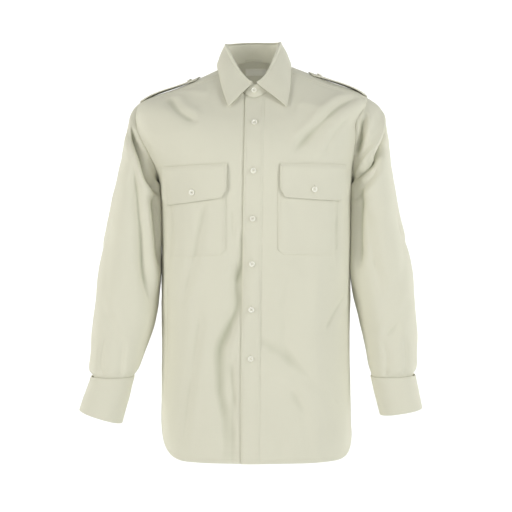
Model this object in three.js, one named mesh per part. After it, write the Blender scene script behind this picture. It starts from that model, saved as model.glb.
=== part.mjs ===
// A long-sleeved battle dress shirt as an unseen wearer fills it.
// Millimetres, +Z up, the front looks along -Y, +X is the wearer's left.
// The origin is on the shoulder line, at the height where the wearer's neck meets the shoulders.
import * as THREE from "three";

const cloth = 1.3; // wall of the single cloth
const stiff = 2.2; // wall of the faced pieces: collar, stand, cuffs, straps
const seamGap = 0.4; // clear gap along a seam
const layerGap = 0.35; // clear gap between two layers
const overlayGap = 0.7; // lift of a piece that lies on a curved panel
const armpit = 5; // ring number of the armpit
const neck = 10; // ring number of the neck seam
const sideSeam = 92; // angle of the side seam
const hemFront = -797;
const hemBack = -812;
const placketHalf = 19;
const buttonRadius = 5.7;
const buttonHeight = 2.6;
const strapHalf = 26;
const cuffOverlap = 34; // degrees of the cuff that lie double
const cuffOpening = 235; // where the cuff starts, at the back of the outer side

const sandCloth = 0xdad9c5;
const ivory = 0xf0f0e1;

function table(columns, rows) {
  return rows.map((row) => Object.fromEntries(columns.map((name, i) => [name, row[i]])));
}

// Rings of the body from the hem to the neck seam: heights at the front, right, left and back,
// depths, half widths, squareness of the section, and how fast the height changes round it.
const rings = table(
  ["zF", "zR", "zL", "zB", "yF", "yB", "xR", "xL", "square", "run"],
  [
    [-820, -820, -820, -820, -117, 112, 189, 201, 2.5, 2],
    [-700, -700, -700, -700, -117, 115, 190, 198, 2.5, 2],
    [-580, -580, -580, -580, -114, 108, 190, 195, 2.5, 2],
    [-460, -460, -460, -460, -113, 102, 190, 196, 2.5, 2],
    [-340, -340, -340, -340, -119, 112, 191, 197, 2.5, 2],
    [-235, -235, -235, -235, -125, 122, 196, 199, 2.6, 2],
    [-190, -183, -176, -165, -125, 127, 219, 208, 2.6, 2],
    [-152, -128, -120, -100, -118, 124, 246, 217, 2.6, 1.8],
    [-120, -78.5, -68.5, -50, -106, 112, 232, 229, 2.5, 1.6],
    [-97, -46, -34, -12, -92, 91, 151, 150, 2.2, 1.6],
    [-70, -8, -2, 10, -75, 66, 68, 68, 2, 1.7],
  ],
);

// The middle line of the front placket, which drifts to the wearer's right on its way down.
const placketLine = table(
  ["z", "x"],
  [
    [-830, -8],
    [-600, -7.8],
    [-400, -5.2],
    [-210, -2],
    [-60, 1],
  ],
);

// Stations of a sleeve from the armhole to the cuff: outer and inner edge, middle depth, half depth.
const sleeveColumns = ["xo", "zo", "xi", "zi", "yc", "hd", "square"];
const sleeves = {
  left: table(sleeveColumns, [
    [229, -70, 199, -235, 0, 60, 2.2],
    [253, -89, 201, -240, 2, 66, 2.2],
    [268, -122, 199.8, -246, 4, 71, 2.2],
    [275, -168, 199.3, -254, 5, 75, 2.2],
    [283, -225, 198.9, -268, 5, 78, 2.2],
    [296, -292, 198.4, -305, 4, 77, 2.2],
    [312, -375, 197.6, -378, 0, 73, 2.2],
    [327, -457, 198, -452, -8, 68, 2.2],
    [331.5, -527, 215.5, -522, -18, 62, 2.3],
    [331.5, -577, 226, -572, -28, 56, 2.3],
    [330, -612, 231, -609, -40, 47, 2.3],
    [320.4, -627.2, 238.6, -629.8, -47, 36.4, 2.3],
    [321.9, -633.7, 240.7, -637.3, -47.7, 36.2, 2.3],
  ]),
  right: table(sleeveColumns, [
    [232, -77, 196, -235, 0, 60, 2.2],
    [248, -93, 197.6, -240, 1, 66, 2.2],
    [257, -124, 195.8, -246, 3, 71, 2.2],
    [268, -172, 195, -254, 4, 75, 2.2],
    [282, -232, 194, -268, 4, 78, 2.2],
    [297, -297, 192.7, -305, 3, 77, 2.2],
    [313, -378, 191.3, -378, 0, 73, 2.2],
    [323, -458, 191.6, -455, -8, 68, 2.2],
    [331, -527, 203, -522, -18, 62, 2.3],
    [334, -580, 220, -575, -28, 56, 2.3],
    [335, -616, 233, -612, -40, 47, 2.3],
    [325.4, -630, 246.6, -630, -47, 36.4, 2.3],
    [327.7, -636.8, 249.2, -639.3, -47.7, 36.2, 2.3],
  ]),
};

// The cuffs: outer and inner corner at the top and at the bottom edge, middle depth, half depth.
const cuffs = {
  left: table(sleeveColumns, [
    [325, -627, 234, -630, -47, 41, 2.3],
    [338.5, -694, 253, -708, -54, 39, 2.3],
  ]),
  right: table(sleeveColumns, [
    [330, -630, 242, -630, -47, 41, 2.3],
    [354, -698, 267, -725, -54, 39, 2.3],
  ]),
};

// The lower edge of the collar leaf, by the angle round the neck, with its own x on the right side.
const leafEdge = table(
  ["angle", "xL", "xR", "y", "z"],
  [
    [4, 64, 51, -95.5, -87.5],
    [30, 70, 61, -83, -66],
    [55, 73, 69, -62, -42],
    [80, 76.5, 77.5, -31, -7],
    [110, 73, 75, 20, 3],
    [145, 46, 48, 68, 4],
    [180, 0, 0, 84, 3],
  ],
);

// Long soft creases in front view: both ends, sideways bow, half width and depth (minus for a ridge).
const creaseColumns = ["x0", "z0", "x1", "z1", "bow", "wide", "deep"];
const frontCreases = table(creaseColumns, [
  [-175, -62, -108, -120, 8, 15, 6],
  [-160, -48, -90, -72, 0, 16, -3],
  [212, -66, 82, -172, -6, 15, 6],
  [-30, -480, -84, -612, -8, 20, 6],
  [-84, -585, -70, -770, 5, 19, 7],
  [-46, -560, -50, -690, 0, 18, -4],
  [40, -560, 165, -720, 6, 26, 4],
  [60, -690, 120, -800, 0, 24, -3],
]);
const backCreases = table(creaseColumns, [
  [-180, -230, -60, -420, 14, 22, 5],
  [176, -215, 70, -390, -12, 22, 6],
  [-90, -480, -60, -720, 8, 24, 6],
  [80, -430, 96, -700, -8, 22, 5],
  [0, -520, 14, -780, 6, 26, -4],
]);
const sleeveCreases = {
  left: table(creaseColumns, [
    [262, -96, 203, -240, -22, 13, 9],
    [282, -250, 262, -430, 6, 18, -4],
    [222, -300, 250, -470, 4, 18, 5],
    [300, -470, 255, -560, 5, 17, 5],
  ]),
  right: table(creaseColumns, [
    [242, -140, 196, -232, -8, 12, 7],
    [252, -236, 232, -470, 6, 17, 5],
    [228, -250, 214, -400, 0, 15, -4],
    [304, -460, 262, -566, -4, 18, 5],
  ]),
};

const radians = THREE.MathUtils.degToRad;
const mix = THREE.MathUtils.lerp;
const smooth = THREE.MathUtils.smoothstep;

function signedPower(value, power) {
  return Math.sign(value) * Math.abs(value) ** power;
}

// A table read between its rows along a smooth curve.
function smoothRow(rows, t) {
  const last = rows.length - 1;
  const i = Math.min(Math.max(Math.floor(t), 0), last - 1);
  const f = Math.min(Math.max(t, 0), last) - i;
  const four = [i - 1, i, i + 1, i + 2].map((k) => rows[Math.min(Math.max(k, 0), last)]);
  const row = {};
  for (const name of Object.keys(rows[0])) {
    const [a, b, c, d] = four.map((r) => r[name]);
    const pull = 2 * a - 5 * b + 4 * c - d;
    const twist = 3 * b - a - 3 * c + d;
    row[name] = b + 0.5 * f * (c - a + f * (pull + f * twist));
  }
  return row;
}

// A table read between its rows along straight lines, by one of its columns.
function tableAt(rows, key, value, name) {
  let i = 0;
  while (i < rows.length - 2 && rows[i + 1][key] < value) {
    i += 1;
  }
  const f = (value - rows[i][key]) / (rows[i + 1][key] - rows[i][key]);
  return mix(rows[i][name], rows[i + 1][name], Math.min(Math.max(f, 0), 1));
}

// How far a list of creases moves the cloth inwards at a spot in front view.
function creaseDepth(list, x, z) {
  let depth = 0;
  for (const c of list) {
    const length = Math.hypot(c.x1 - c.x0, c.z1 - c.z0);
    const ux = (c.x1 - c.x0) / length;
    const uz = (c.z1 - c.z0) / length;
    const along = ((x - c.x0) * ux + (z - c.z0) * uz) / length;
    const across = (z - c.z0) * ux - (x - c.x0) * uz - c.bow * 4 * along * (1 - along);
    const ends = smooth(along, -0.1, 0.25) * (1 - smooth(along, 0.7, 1.12));
    depth += c.deep * ends * Math.exp(-((across / c.wide) ** 2));
  }
  return depth;
}

// The body's surface without creases, by angle (0 front, 90 left, 180 back) and ring number.
function bodyShape(angle, t) {
  const r = smoothRow(rings, t);
  const s = Math.sin(radians(angle));
  const c = Math.cos(radians(angle));
  const zSide = s >= 0 ? r.zL : r.zR;
  return new THREE.Vector3(
    (s >= 0 ? r.xL : r.xR) * signedPower(s, 2 / r.square),
    (c >= 0 ? r.yF : r.yB) * Math.abs(c) ** (2 / r.square),
    zSide + ((c >= 0 ? r.zF : r.zB) - zSide) * (1 - Math.abs(s) ** r.run),
  );
}

function normalOf(shape, u, v, stepU, stepV) {
  const across = shape(u + stepU, v).sub(shape(u - stepU, v));
  const up = shape(u, v + stepV).sub(shape(u, v - stepV));
  return across.cross(up).normalize();
}

function bodyPoint(angle, t, lift = 0) {
  const p = bodyShape(angle, t);
  const n = normalOf(bodyShape, angle, t, 0.4, 0.02);
  const list = p.y < 0 ? frontCreases : backCreases;
  const facing = smooth(Math.abs(p.y), 10, 60);
  return p.addScaledVector(n, lift - facing * creaseDepth(list, p.x, p.z));
}

// The angle at which a ring passes an x in front view.
function angleOf(x, t) {
  const r = smoothRow(rings, t);
  const part = Math.min(Math.abs(x) / (x > 0 ? r.xL : r.xR), 0.9995);
  return (Math.sign(x) * Math.asin(part ** (r.square / 2)) * 180) / Math.PI;
}

// Angle and ring of the spot that front view shows at (x, z); back looks for it on the back.
function spot(x, z, back = false) {
  let low = 0;
  let high = neck;
  const angleAt = (t) => (back ? 180 - angleOf(x, t) : angleOf(x, t));
  for (let i = 0; i < 36; i++) {
    const t = (low + high) / 2;
    if (bodyShape(angleAt(t), t).z < z) {
      low = t;
    } else {
      high = t;
    }
  }
  return [angleAt(low), low];
}

function ringAtHeight(angle, z) {
  let low = 0;
  let high = armpit + 1;
  for (let i = 0; i < 36; i++) {
    const t = (low + high) / 2;
    if (bodyShape(angle, t).z < z) {
      low = t;
    } else {
      high = t;
    }
  }
  return low;
}

// The armhole, by its own angle: 0 armpit, 90 front, 180 shoulder, 270 back. Gives angle and ring.
function armhole(side, phi) {
  const s = Math.sin(radians(phi));
  const c = Math.cos(radians(phi));
  const front = 20 + (side > 0 ? 9 * smooth(phi, 80, 130) : 0);
  const reach = s > 0 ? -front * s ** 0.8 : 24 * Math.abs(s) ** 0.8;
  return [91 + c + reach, 6.5 - 1.5 * c];
}

const frontPhi = Array.from({ length: 10 }, (_, i) => (150 * i) / 9);
const topPhi = Array.from({ length: 6 }, (_, i) => 150 + 15 * i);
const backPhi = Array.from({ length: 8 }, (_, i) => 225 + (135 * i) / 7);

function hemHeight(angle) {
  const side = Math.sin(radians(angle)) >= 0 ? 1 : -1;
  const a = Math.abs(angle > 180 ? angle - 360 : angle);
  const rise = side > 0 ? 55 : 80;
  const start = side > 0 ? 48 : 40;
  const back = hemBack + (hemFront + rise - hemBack) * Math.max(0, (146 - a) / (146 - sideSeam)) ** 2.4;
  const front = hemFront + rise * Math.max(0, (a - start) / (sideSeam - start)) ** 2.4;
  return a < sideSeam ? front : back;
}

// Moves the edge points of a grid inwards along the grid, to leave a gap at a seam.
function trim(grid, gaps) {
  const move = (p, q, d) => p.clone().addScaledVector(q.clone().sub(p).normalize(), d);
  const out = grid.map((row) => row.map((p) => p.clone()));
  const rowsLast = grid.length - 1;
  const last = grid[0].length - 1;
  grid.forEach((row, j) => {
    if (gaps.start) {
      out[j][0] = move(row[0], row[1], gaps.start);
    }
    if (gaps.end) {
      out[j][last] = move(row[last], row[last - 1], gaps.end);
    }
  });
  grid[0].forEach((_, i) => {
    if (gaps.bottom) {
      out[0][i] = move(out[0][i], grid[1][i], gaps.bottom);
    }
    if (gaps.top) {
      out[rowsLast][i] = move(out[rowsLast][i], grid[rowsLast - 1][i], gaps.top);
    }
  });
  return out;
}

// The inner side of a wall whose outer points are a grid; sense turns its outside round.
function innerSide(grid, thick, sense, wrap) {
  const rows = grid.length;
  const columns = grid[0].length;
  const at = (i, j) => {
    const row = grid[Math.min(Math.max(j, 0), rows - 1)];
    return row[wrap ? (i + columns) % columns : Math.min(Math.max(i, 0), columns - 1)];
  };
  return grid.map((row, j) =>
    row.map((p, i) => {
      const n = at(i + 1, j).clone().sub(at(i - 1, j));
      n.cross(at(i, j + 1).clone().sub(at(i, j - 1))).normalize();
      return p.clone().addScaledVector(n, -sense * thick);
    }),
  );
}

// A closed solid between two grids of points, rows of columns, that face each other.
function between(outer, inner, sense = 1, wrap = false) {
  const rows = outer.length;
  const columns = outer[0].length;
  const positions = [...outer.flat(), ...inner.flat()].flatMap((p) => [p.x, p.y, p.z]);
  const count = rows * columns;
  const index = [];
  const face = (a, b, c) => (sense > 0 ? index.push(a, b, c) : index.push(a, c, b));
  const id = (i, j) => j * columns + (i % columns);
  const spans = wrap ? columns : columns - 1;
  const rim = (p, q) => {
    face(p, p + count, q + count);
    face(p, q + count, q);
  };
  for (let j = 0; j < rows - 1; j++) {
    for (let i = 0; i < spans; i++) {
      const [a, b, c, d] = [id(i, j), id(i + 1, j), id(i + 1, j + 1), id(i, j + 1)];
      face(a, b, c);
      face(a, c, d);
      face(a + count, c + count, b + count);
      face(a + count, d + count, c + count);
    }
  }
  for (let i = 0; i < spans; i++) {
    rim(id(i, 0), id(i + 1, 0));
    rim(id(i + 1, rows - 1), id(i, rows - 1));
  }
  for (let j = 0; j < rows - 1 && !wrap; j++) {
    rim(id(columns - 1, j), id(columns - 1, j + 1));
    rim(id(0, j + 1), id(0, j));
  }
  const geometry = new THREE.BufferGeometry();
  geometry.setAttribute("position", new THREE.Float32BufferAttribute(positions, 3));
  geometry.setIndex(index);
  return geometry;
}

function wall(grid, thick, sense = 1, wrap = false) {
  return between(grid, innerSide(grid, thick, sense, wrap), sense, wrap);
}

// A panel of the body from rows of [angle, ring, lift], with its wall straight under each point.
function panelSides(spots, thick, gaps) {
  return [0, -thick].map((deeper) =>
    trim(
      spots.map((row) => row.map(([angle, t, lift = 0]) => bodyPoint(angle, t, lift + deeper))),
      gaps,
    ),
  );
}

const shirt = new THREE.Group();

function add(name, geometry, color) {
  const mesh = new THREE.Mesh(geometry, new THREE.MeshStandardMaterial({ color, roughness: 0.85 }));
  mesh.name = name;
  shirt.add(mesh);
}

// A button whose back rests on a point, with a shallow dish in its face.
function addButton(name, point, normal, radius = buttonRadius) {
  const profile = [
    [0, layerGap],
    [radius * 0.8, layerGap],
    [radius, layerGap + buttonHeight * 0.55],
    [radius * 0.8, layerGap + buttonHeight],
    [0, layerGap + buttonHeight * 0.6],
  ].map(([r, h]) => new THREE.Vector2(r, h));
  const geometry = new THREE.LatheGeometry(profile, 12);
  const turn = new THREE.Quaternion().setFromUnitVectors(new THREE.Vector3(0, 1, 0), normal);
  geometry.applyQuaternion(turn);
  geometry.translate(point.x, point.y, point.z);
  add(name, geometry, ivory);
}

// The fronts: rows of constant height up to the armpit, then rows of the rings up to the neck.
const lowRows = 17;
const seamRows = [8.2, 8.6, 9, 9.35, 9.7, 10];

function seamAngle(side, t) {
  const [start, from] = armhole(side, 150);
  return mix(start, 62, (t - from) / (neck - from));
}

function frontRows(side) {
  const rows = [];
  for (let j = 0; j < lowRows; j++) {
    rows.push({ part: j / lowRows, edge: sideSeam });
  }
  for (const phi of frontPhi) {
    const [edge, t] = armhole(side, phi);
    rows.push({ t, edge });
  }
  for (const t of seamRows) {
    rows.push({ t, edge: seamAngle(side, t) });
  }
  return rows;
}

function middleAt(t) {
  return tableAt(placketLine, "z", smoothRow(rings, t).zF, "x");
}

// Ring number at an angle in a row: the low rows share the height between the hem and the armpit.
function rowRing(row, angle) {
  if (row.t !== undefined) {
    return row.t;
  }
  return ringAtHeight(angle, mix(hemHeight(angle), rings[armpit].zF, row.part));
}

function frontPanel(side, name) {
  const steps = 11;
  const grid = frontRows(side).map((row) => {
    const t = rowRing(row, 0);
    const middle = middleAt(t);
    const strip =
      side > 0
        ? [middle - placketHalf + 0.4, middle, middle + placketHalf]
        : [middle + placketHalf - 3, middle, middle - placketHalf, middle - placketHalf - 7];
    const tucked = (i) => (side < 0 && i < 3 ? -cloth - layerGap : 0);
    const line = strip.map((x, i) => [angleOf(x, t), tucked(i)]);
    const [from] = line[line.length - 1];
    for (let i = 1; i <= steps; i++) {
      line.push([mix(from, side * row.edge, i / steps), 0]);
    }
    const spots = line.map(([angle, lift]) => [angle, rowRing(row, angle), lift]);
    return side > 0 ? spots : spots.reverse();
  });
  const gaps = { top: seamGap / 2 };
  gaps[side > 0 ? "end" : "start"] = seamGap / 2;
  add(name, between(...panelSides(grid, cloth, gaps)), sandCloth);
}
frontPanel(1, "front_left");
frontPanel(-1, "front_right");

// The back: its top edge is the yoke seam, a little lower at the middle.
const backSteps = 20;
const backRings = backPhi.map((phi) => armhole(1, phi)).reverse();
const [backCorner, backCornerRing] = armhole(1, 225);

function backAngle(edge, i) {
  return mix(edge, 360 - edge, i / backSteps);
}

const backGrid = [];
for (let j = 0; j < lowRows; j++) {
  const row = { part: j / lowRows };
  backGrid.push(
    Array.from({ length: backSteps + 1 }, (_, i) => {
      const angle = backAngle(sideSeam, i);
      return [angle, rowRing(row, angle)];
    }),
  );
}
for (const [edge, t] of backRings) {
  const middle = mix(armpit, 7, (t - armpit) / (backCornerRing - armpit));
  backGrid.push(
    Array.from({ length: backSteps + 1 }, (_, i) => {
      const out = Math.abs(2 * i - backSteps) / backSteps;
      return [backAngle(edge, i), mix(middle, t, out)];
    }),
  );
}
const backGaps = { start: seamGap / 2, end: seamGap / 2, top: seamGap / 2 };
add("back", between(...panelSides(backGrid, cloth, backGaps)), sandCloth);

// The yoke: columns from its outer edge to the neck, from the left front seam round to the right one.
const seamStart = armhole(1, 150)[1];
const yokeRows = [0, ...seamRows.map((t) => (t - seamStart) / (neck - seamStart))];
const yokeLines = [];
topPhi.slice(0, -1).forEach((phi, k) => {
  yokeLines.push({ outer: armhole(1, phi), inner: mix(62, 110, k / 5) });
});
for (let i = 0; i <= backSteps; i++) {
  const out = Math.abs(2 * i - backSteps) / backSteps;
  const outer = [backAngle(backCorner, i), mix(7, backCornerRing, out)];
  yokeLines.push({ outer, inner: mix(110, 250, i / backSteps) });
}
topPhi
  .slice(0, -1)
  .reverse()
  .forEach((phi, k) => {
    const [angle, t] = armhole(-1, phi);
    yokeLines.push({ outer: [360 - angle, t], inner: mix(250, 298, (k + 1) / 5) });
  });
const yokeGrid = yokeRows.map((part) =>
  yokeLines.map(({ outer, inner }) => [mix(outer[0], inner, part), mix(outer[1], neck, part)]),
);
const allRound = { start: seamGap / 2, end: seamGap / 2, bottom: seamGap / 2, top: seamGap / 2 };
const yokeSides = panelSides(yokeGrid, cloth, allRound);
add("yoke", between(...yokeSides), sandCloth);

// A sleeve section in space, by its own angle: 0 inner side, 90 front, 180 outer side, 270 back.
function sectionPoint(row, side, phi, grow = 0) {
  const c = signedPower(Math.cos(radians(phi)), 2 / row.square);
  const s = signedPower(Math.sin(radians(phi)), 2 / row.square);
  const half = Math.hypot(row.xo - row.xi, row.zo - row.zi) / 2;
  const scale = (half + grow) / half;
  return new THREE.Vector3(
    side * ((row.xo + row.xi) / 2 - ((row.xo - row.xi) / 2) * scale * c),
    row.yc - (row.hd + grow) * s,
    (row.zo + row.zi) / 2 - ((row.zo - row.zi) / 2) * scale * c,
  );
}

function sleeveShape(side, phi, s) {
  const rows = side > 0 ? sleeves.left : sleeves.right;
  const p = sectionPoint(smoothRow(rows, s), side, phi);
  const fade = 1 - smooth(s, 0, 4.5);
  if (fade > 0) {
    const [angle, t] = armhole(side, phi);
    const seam = bodyPoint(side * angle, t, layerGap);
    p.addScaledVector(seam.sub(sectionPoint(rows[0], side, phi)), fade);
  }
  return p;
}

function sleevePoint(side, phi, s, lift = 0) {
  const shape = (u, v) => sleeveShape(side, u, v);
  const p = shape(phi, s);
  const n = normalOf(shape, phi, s, 1, 0.03).multiplyScalar(-side);
  const list = side > 0 ? sleeveCreases.left : sleeveCreases.right;
  const facing = smooth(Math.abs(n.y), 0.15, 0.6) * smooth(s, 0.2, 1.2);
  return p.addScaledVector(n, lift - facing * creaseDepth(list, Math.abs(p.x), p.z));
}

const sleevePhi = [...frontPhi, ...topPhi.slice(1), ...backPhi.slice(1, -1)];
const sleeveRows = [
  0, 0.35, 0.8, 1.4, 2, 2.7, 3.4, 4, 4.5, 5, 5.35, 5.7, 6.05, 6.4, 6.75, 7.1, 7.5, 7.9, 8.4, 8.9, 9.4, 9.8,
  10.3, 10.7, 11, 12,
];
for (const [side, word] of [
  [1, "left"],
  [-1, "right"],
]) {
  const grid = sleeveRows.map((s) => sleevePhi.map((phi) => sleevePoint(side, phi, s)));
  add("sleeve_" + word, wall(trim(grid, { bottom: seamGap / 2 }), cloth, -side, true), sandCloth);

  const stripPhi = [backPhi[0], backPhi[1]];
  const stripRows = sleeveRows.filter((s) => s > 8 && s < 10.5);
  const strip = stripRows.map((s) => stripPhi.map((phi) => sleevePoint(side, phi, s, layerGap + cloth)));
  add("sleeve_placket_" + word, wall(strip, cloth, -side), sandCloth);
}

// A cuff: one band that goes round once and a little more, its outer end over its inner end.
function cuffPoint(side, part, height, lift = 0) {
  const [top, bottom] = side > 0 ? cuffs.left : cuffs.right;
  const row = {};
  for (const name of sleeveColumns) {
    row[name] = mix(bottom[name], top[name], height);
  }
  const grow = mix(-1.5, 1.5, smooth(part, 0.1, 0.9));
  return sectionPoint(row, side, cuffOpening + (360 + cuffOverlap) * part, grow + lift);
}

const cuffSteps = 28;
for (const [side, word] of [
  [1, "left"],
  [-1, "right"],
]) {
  const grid = [0, 0.5, 1].map((height) =>
    Array.from({ length: cuffSteps + 1 }, (_, i) => cuffPoint(side, i / cuffSteps, height)),
  );
  add("cuff_" + word, wall(grid, stiff, side), sandCloth);
  const shape = (u, v) => cuffPoint(side, u, v);
  const place = 1 - (0.45 * cuffOverlap) / (360 + cuffOverlap);
  const n = normalOf(shape, place, 0.5, 0.01, 0.1).multiplyScalar(side);
  addButton("button_cuff_" + word, cuffPoint(side, place, 0.5), n);
}

// The collar: the fold line at the top of the stand, and the leaf that falls from it.
function foldPoint(angle) {
  const s = Math.sin(radians(angle));
  const c = Math.cos(radians(angle));
  const zSide = 40.5 + 2 * s;
  const z = c >= 0 ? mix(-38, zSide, Math.abs(s) ** 1.55) : mix(45, zSide, s * s);
  return new THREE.Vector3(54 * s - 3 * s * s, (c >= 0 ? -70 : -58) * c, z);
}

function foldFrame(angle) {
  const along = foldPoint(angle + 1).sub(foldPoint(angle - 1)).normalize();
  const out = new THREE.Vector3(70 * Math.sin(radians(angle)), -56 * Math.cos(radians(angle)), 0).normalize();
  const up = out.clone().cross(along).normalize();
  return { out, up: up.z > 0 ? up : up.negate() };
}

// The part of the full stand height at its two ends, which are cut round.
function standHeight(angle) {
  const x = 68 * Math.sin(radians(angle));
  if (angle < 10) {
    return Math.min(1, mix(0.12, 0.48, smooth(x, -18, -12)) + 0.52 * smooth(x, -22, 12));
  }
  if (angle > 355) {
    return Math.max(0.15, 1 - 0.85 * smooth(x, -2, 18));
  }
  return 1;
}

// How far the outer end of the stand lies out over its inner end.
function overInnerEnd(angle) {
  return 1.4 * (1 - smooth(angle, 16, 40));
}

function standPoint(angle, height, lift = 0) {
  const low = bodyShape(((angle % 360) + 360) % 360, neck);
  const full = low.distanceTo(foldPoint(angle));
  const foot = (0.5 + 1.1 * (1 - smooth(Math.abs(low.x), 18, 40)) * (low.y < 0 ? 1 : 0)) / full;
  const p = low.lerp(foldPoint(angle), mix(foot, 1, height * standHeight(angle)));
  const layer = overInnerEnd(angle) - 1.4 * smooth(angle, 318, 344);
  return p.addScaledVector(foldFrame(angle).out, lift + layer);
}

const ringAngles = [5, 10];
for (let angle = 18; angle <= 342; angle += 12) {
  ringAngles.push(angle);
}
ringAngles.push(350, 355);
const standAngles = [-15, -10.5, -5, 1, ...ringAngles, 360, 365, 369, 373];
const standGrid = [0, 0.5, 1].map((h) => standAngles.map((angle) => standPoint(angle, h)));
add("collar_stand", wall(standGrid, stiff), sandCloth);

function leafPoint(angle, row) {
  const a = angle > 180 ? 360 - angle : angle;
  const { out, up } = foldFrame(angle);
  const fold = foldPoint(angle);
  if (row.out !== undefined) {
    return fold.addScaledVector(out, row.out + overInnerEnd(angle)).addScaledVector(up, row.up);
  }
  const start = fold.addScaledVector(out, 3.4 + overInnerEnd(angle)).addScaledVector(up, -1);
  const x = tableAt(leafEdge, "angle", a, angle > 180 ? "xR" : "xL");
  const edge = new THREE.Vector3(
    angle > 180 ? -x : x,
    tableAt(leafEdge, "angle", a, "y"),
    tableAt(leafEdge, "angle", a, "z"),
  );
  return start.lerp(edge, row.fall).addScaledVector(out, 1.6 * Math.sin(Math.PI * row.fall));
}

const leafRows = [
  { fall: 1 },
  { fall: 0.72 },
  { fall: 0.42 },
  { fall: 0.16 },
  { out: 3.1, up: 0.7 },
  { out: 1.3, up: 3 },
  { out: -1.6, up: 3 },
];
const leafGrid = leafRows.map((row) => ringAngles.map((angle) => leafPoint(angle, row)));
add("collar", wall(leafGrid, stiff), sandCloth);

// The placket lies on the left front's edge, row by row.
const placketGrid = frontRows(1).map((row) => {
  const t = rowRing(row, 0);
  const middle = middleAt(t);
  return [middle - placketHalf, middle, middle + placketHalf].map((x) =>
    bodyPoint(angleOf(x, t), rowRing(row, angleOf(x, t)), layerGap + 1.5),
  );
});
add("placket", wall(trim(placketGrid, { top: 2.2 }), 1.5), sandCloth);

const frontNormal = (angle, t) => normalOf(bodyPoint, angle, t, 1.5, 0.06);
[-120.3, -213.6, -307.4, -397.2, -488.6, -586.1].forEach((z, i) => {
  const [angle, t] = spot(tableAt(placketLine, "z", z, "x"), z);
  addButton("button_front_" + (i + 1), bodyPoint(angle, t, layerGap + 1.5), frontNormal(angle, t));
});
const standFace = (u, v) => standPoint(u, v);
addButton("button_stand", standPoint(-1, 0.52), normalOf(standFace, -1, 0.52, 2, 0.1), 5.2);

// A patch on the front in front view: corner lines, and its lift at each row.
function frontPatch(name, side, columns, rows, corner, thick) {
  const grid = rows.map((row) =>
    columns.map((part) => {
      const x = mix(row.x0, row.x1, part);
      const cut = corner.deep * Math.max(0, 1 - Math.min(part, 1 - part) / corner.wide);
      const z = mix(row.z0, row.z1, part) + cut * row.cut;
      const [angle, t] = spot(x, z);
      return bodyPoint(angle, t, row.lift + thick);
    }),
  );
  add(name, wall(grid, thick, side), sandCloth);
}

const patchColumns = [0, 0.07, 0.22, 0.38, 0.54, 0.7, 0.84, 0.93, 1];
const pocketShapes = table(
  ["word", "side", "x0", "x1", "flap0", "flap1", "slope"],
  [
    ["left", 1, 45, 166, 50, 181, 3],
    ["right", -1, -56, -166, -54, -183, 8],
  ],
);
for (const p of pocketShapes) {
  const row = (z, lift, cut) => ({ x0: p.x0, x1: p.x1, z0: z, z1: z - p.slope, lift, cut });
  const heights = [-379, -364, -340, -310, -280, -250, -216];
  const pocket = heights.map((z, i) => row(z, overlayGap, i === 0 ? 1 : 0));
  frontPatch("pocket_" + p.word, p.side, patchColumns, pocket, { wide: 0.1, deep: 11 }, cloth);
  const fall = (z, slope, lift, cut) => ({ x0: p.flap0, x1: p.flap1, z0: z, z1: z - slope, lift, cut });
  const flap = [
    fall(-265, 4 + 2 * p.slope, 4.6, 1),
    fall(-250, 2 + 2 * p.slope, 4, 0.1),
    fall(-228, 2 * p.slope, 3.3, 0),
    fall(-208, p.slope, 2.6, 0),
    fall(-199, p.slope, overlayGap, 0),
  ];
  frontPatch("pocket_flap_" + p.word, p.side, patchColumns, flap, { wide: 0.08, deep: 15 }, 2);
  const [angle, t] = spot(p.side > 0 ? 116 : -121, p.side > 0 ? -250 : -256);
  addButton("button_flap_" + p.word, bodyPoint(angle, t, 6.4), frontNormal(angle, t));
}

// The shoulder straps: sewn into the sleeve seam, pointed and buttoned near the collar.
function strapPoint(side, across, x, lift) {
  const t = 8 + (2 * (229 - x)) / 161;
  const r = smoothRow(rings, t);
  const depth = Math.abs(across < 0 ? r.yF : r.yB);
  const quarter = Math.acos(Math.min(1, (Math.abs(across) / depth) ** (r.square / 2)));
  const angle = (quarter * 180) / Math.PI;
  return bodyPoint(side * (across < 0 ? angle : 180 - angle), t, lift);
}

const strapAcross = [-1, -0.55, 0, 0.55, 1];
for (const [side, word] of [
  [1, "left"],
  [-1, "right"],
]) {
  const lengths = [0, 0.12, 0.3, 0.5, 0.7, 0.88, 1];
  const grid = lengths.map((part) =>
    strapAcross.map((w) => {
      const outer = (side > 0 ? 226 : 228) - 8 * w * w;
      const inner = 112 + 10 * Math.abs(w) ** 1.5;
      const width = strapHalf * mix(1, 0.86, part) * w;
      const hump = Math.sin(Math.PI * part) * (1.2 + (w < 0 ? 1.4 : 0));
      return strapPoint(side, width, mix(outer, inner, part), overlayGap + 0.2 + hump + stiff);
    }),
  );
  add("shoulder_strap_" + word, wall(grid, stiff, side), sandCloth);
  const face = (u, v) => strapPoint(side, u, v, 0);
  const n = normalOf(face, 0, 130, 3, -6).multiplyScalar(side);
  addButton("button_strap_" + word, strapPoint(side, 0, 130, overlayGap + 1.2 + stiff), n);
}

// The bare label inside the back of the yoke, under the collar seam.
const yokeMiddle = (yokeLines.length - 1) / 2;
const labelSides = [layerGap, layerGap + 1].map((deep) =>
  [3.55, 4, 4.6].map((j) =>
    [-1.05, 0, 0.8].map((out) => {
      const row = Math.floor(j);
      const beside = yokeMiddle + Math.sign(out);
      const at = (k) => yokeSides[1][k][yokeMiddle].clone().lerp(yokeSides[1][k][beside], Math.abs(out));
      const p = at(row).lerp(at(row + 1), j - row);
      const [angle, t] = yokeGrid[row][yokeMiddle];
      return p.addScaledVector(normalOf(bodyShape, angle, t, 0.4, 0.02), -deep);
    }),
  ),
);
add("label", between(...labelSides), ivory);

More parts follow.
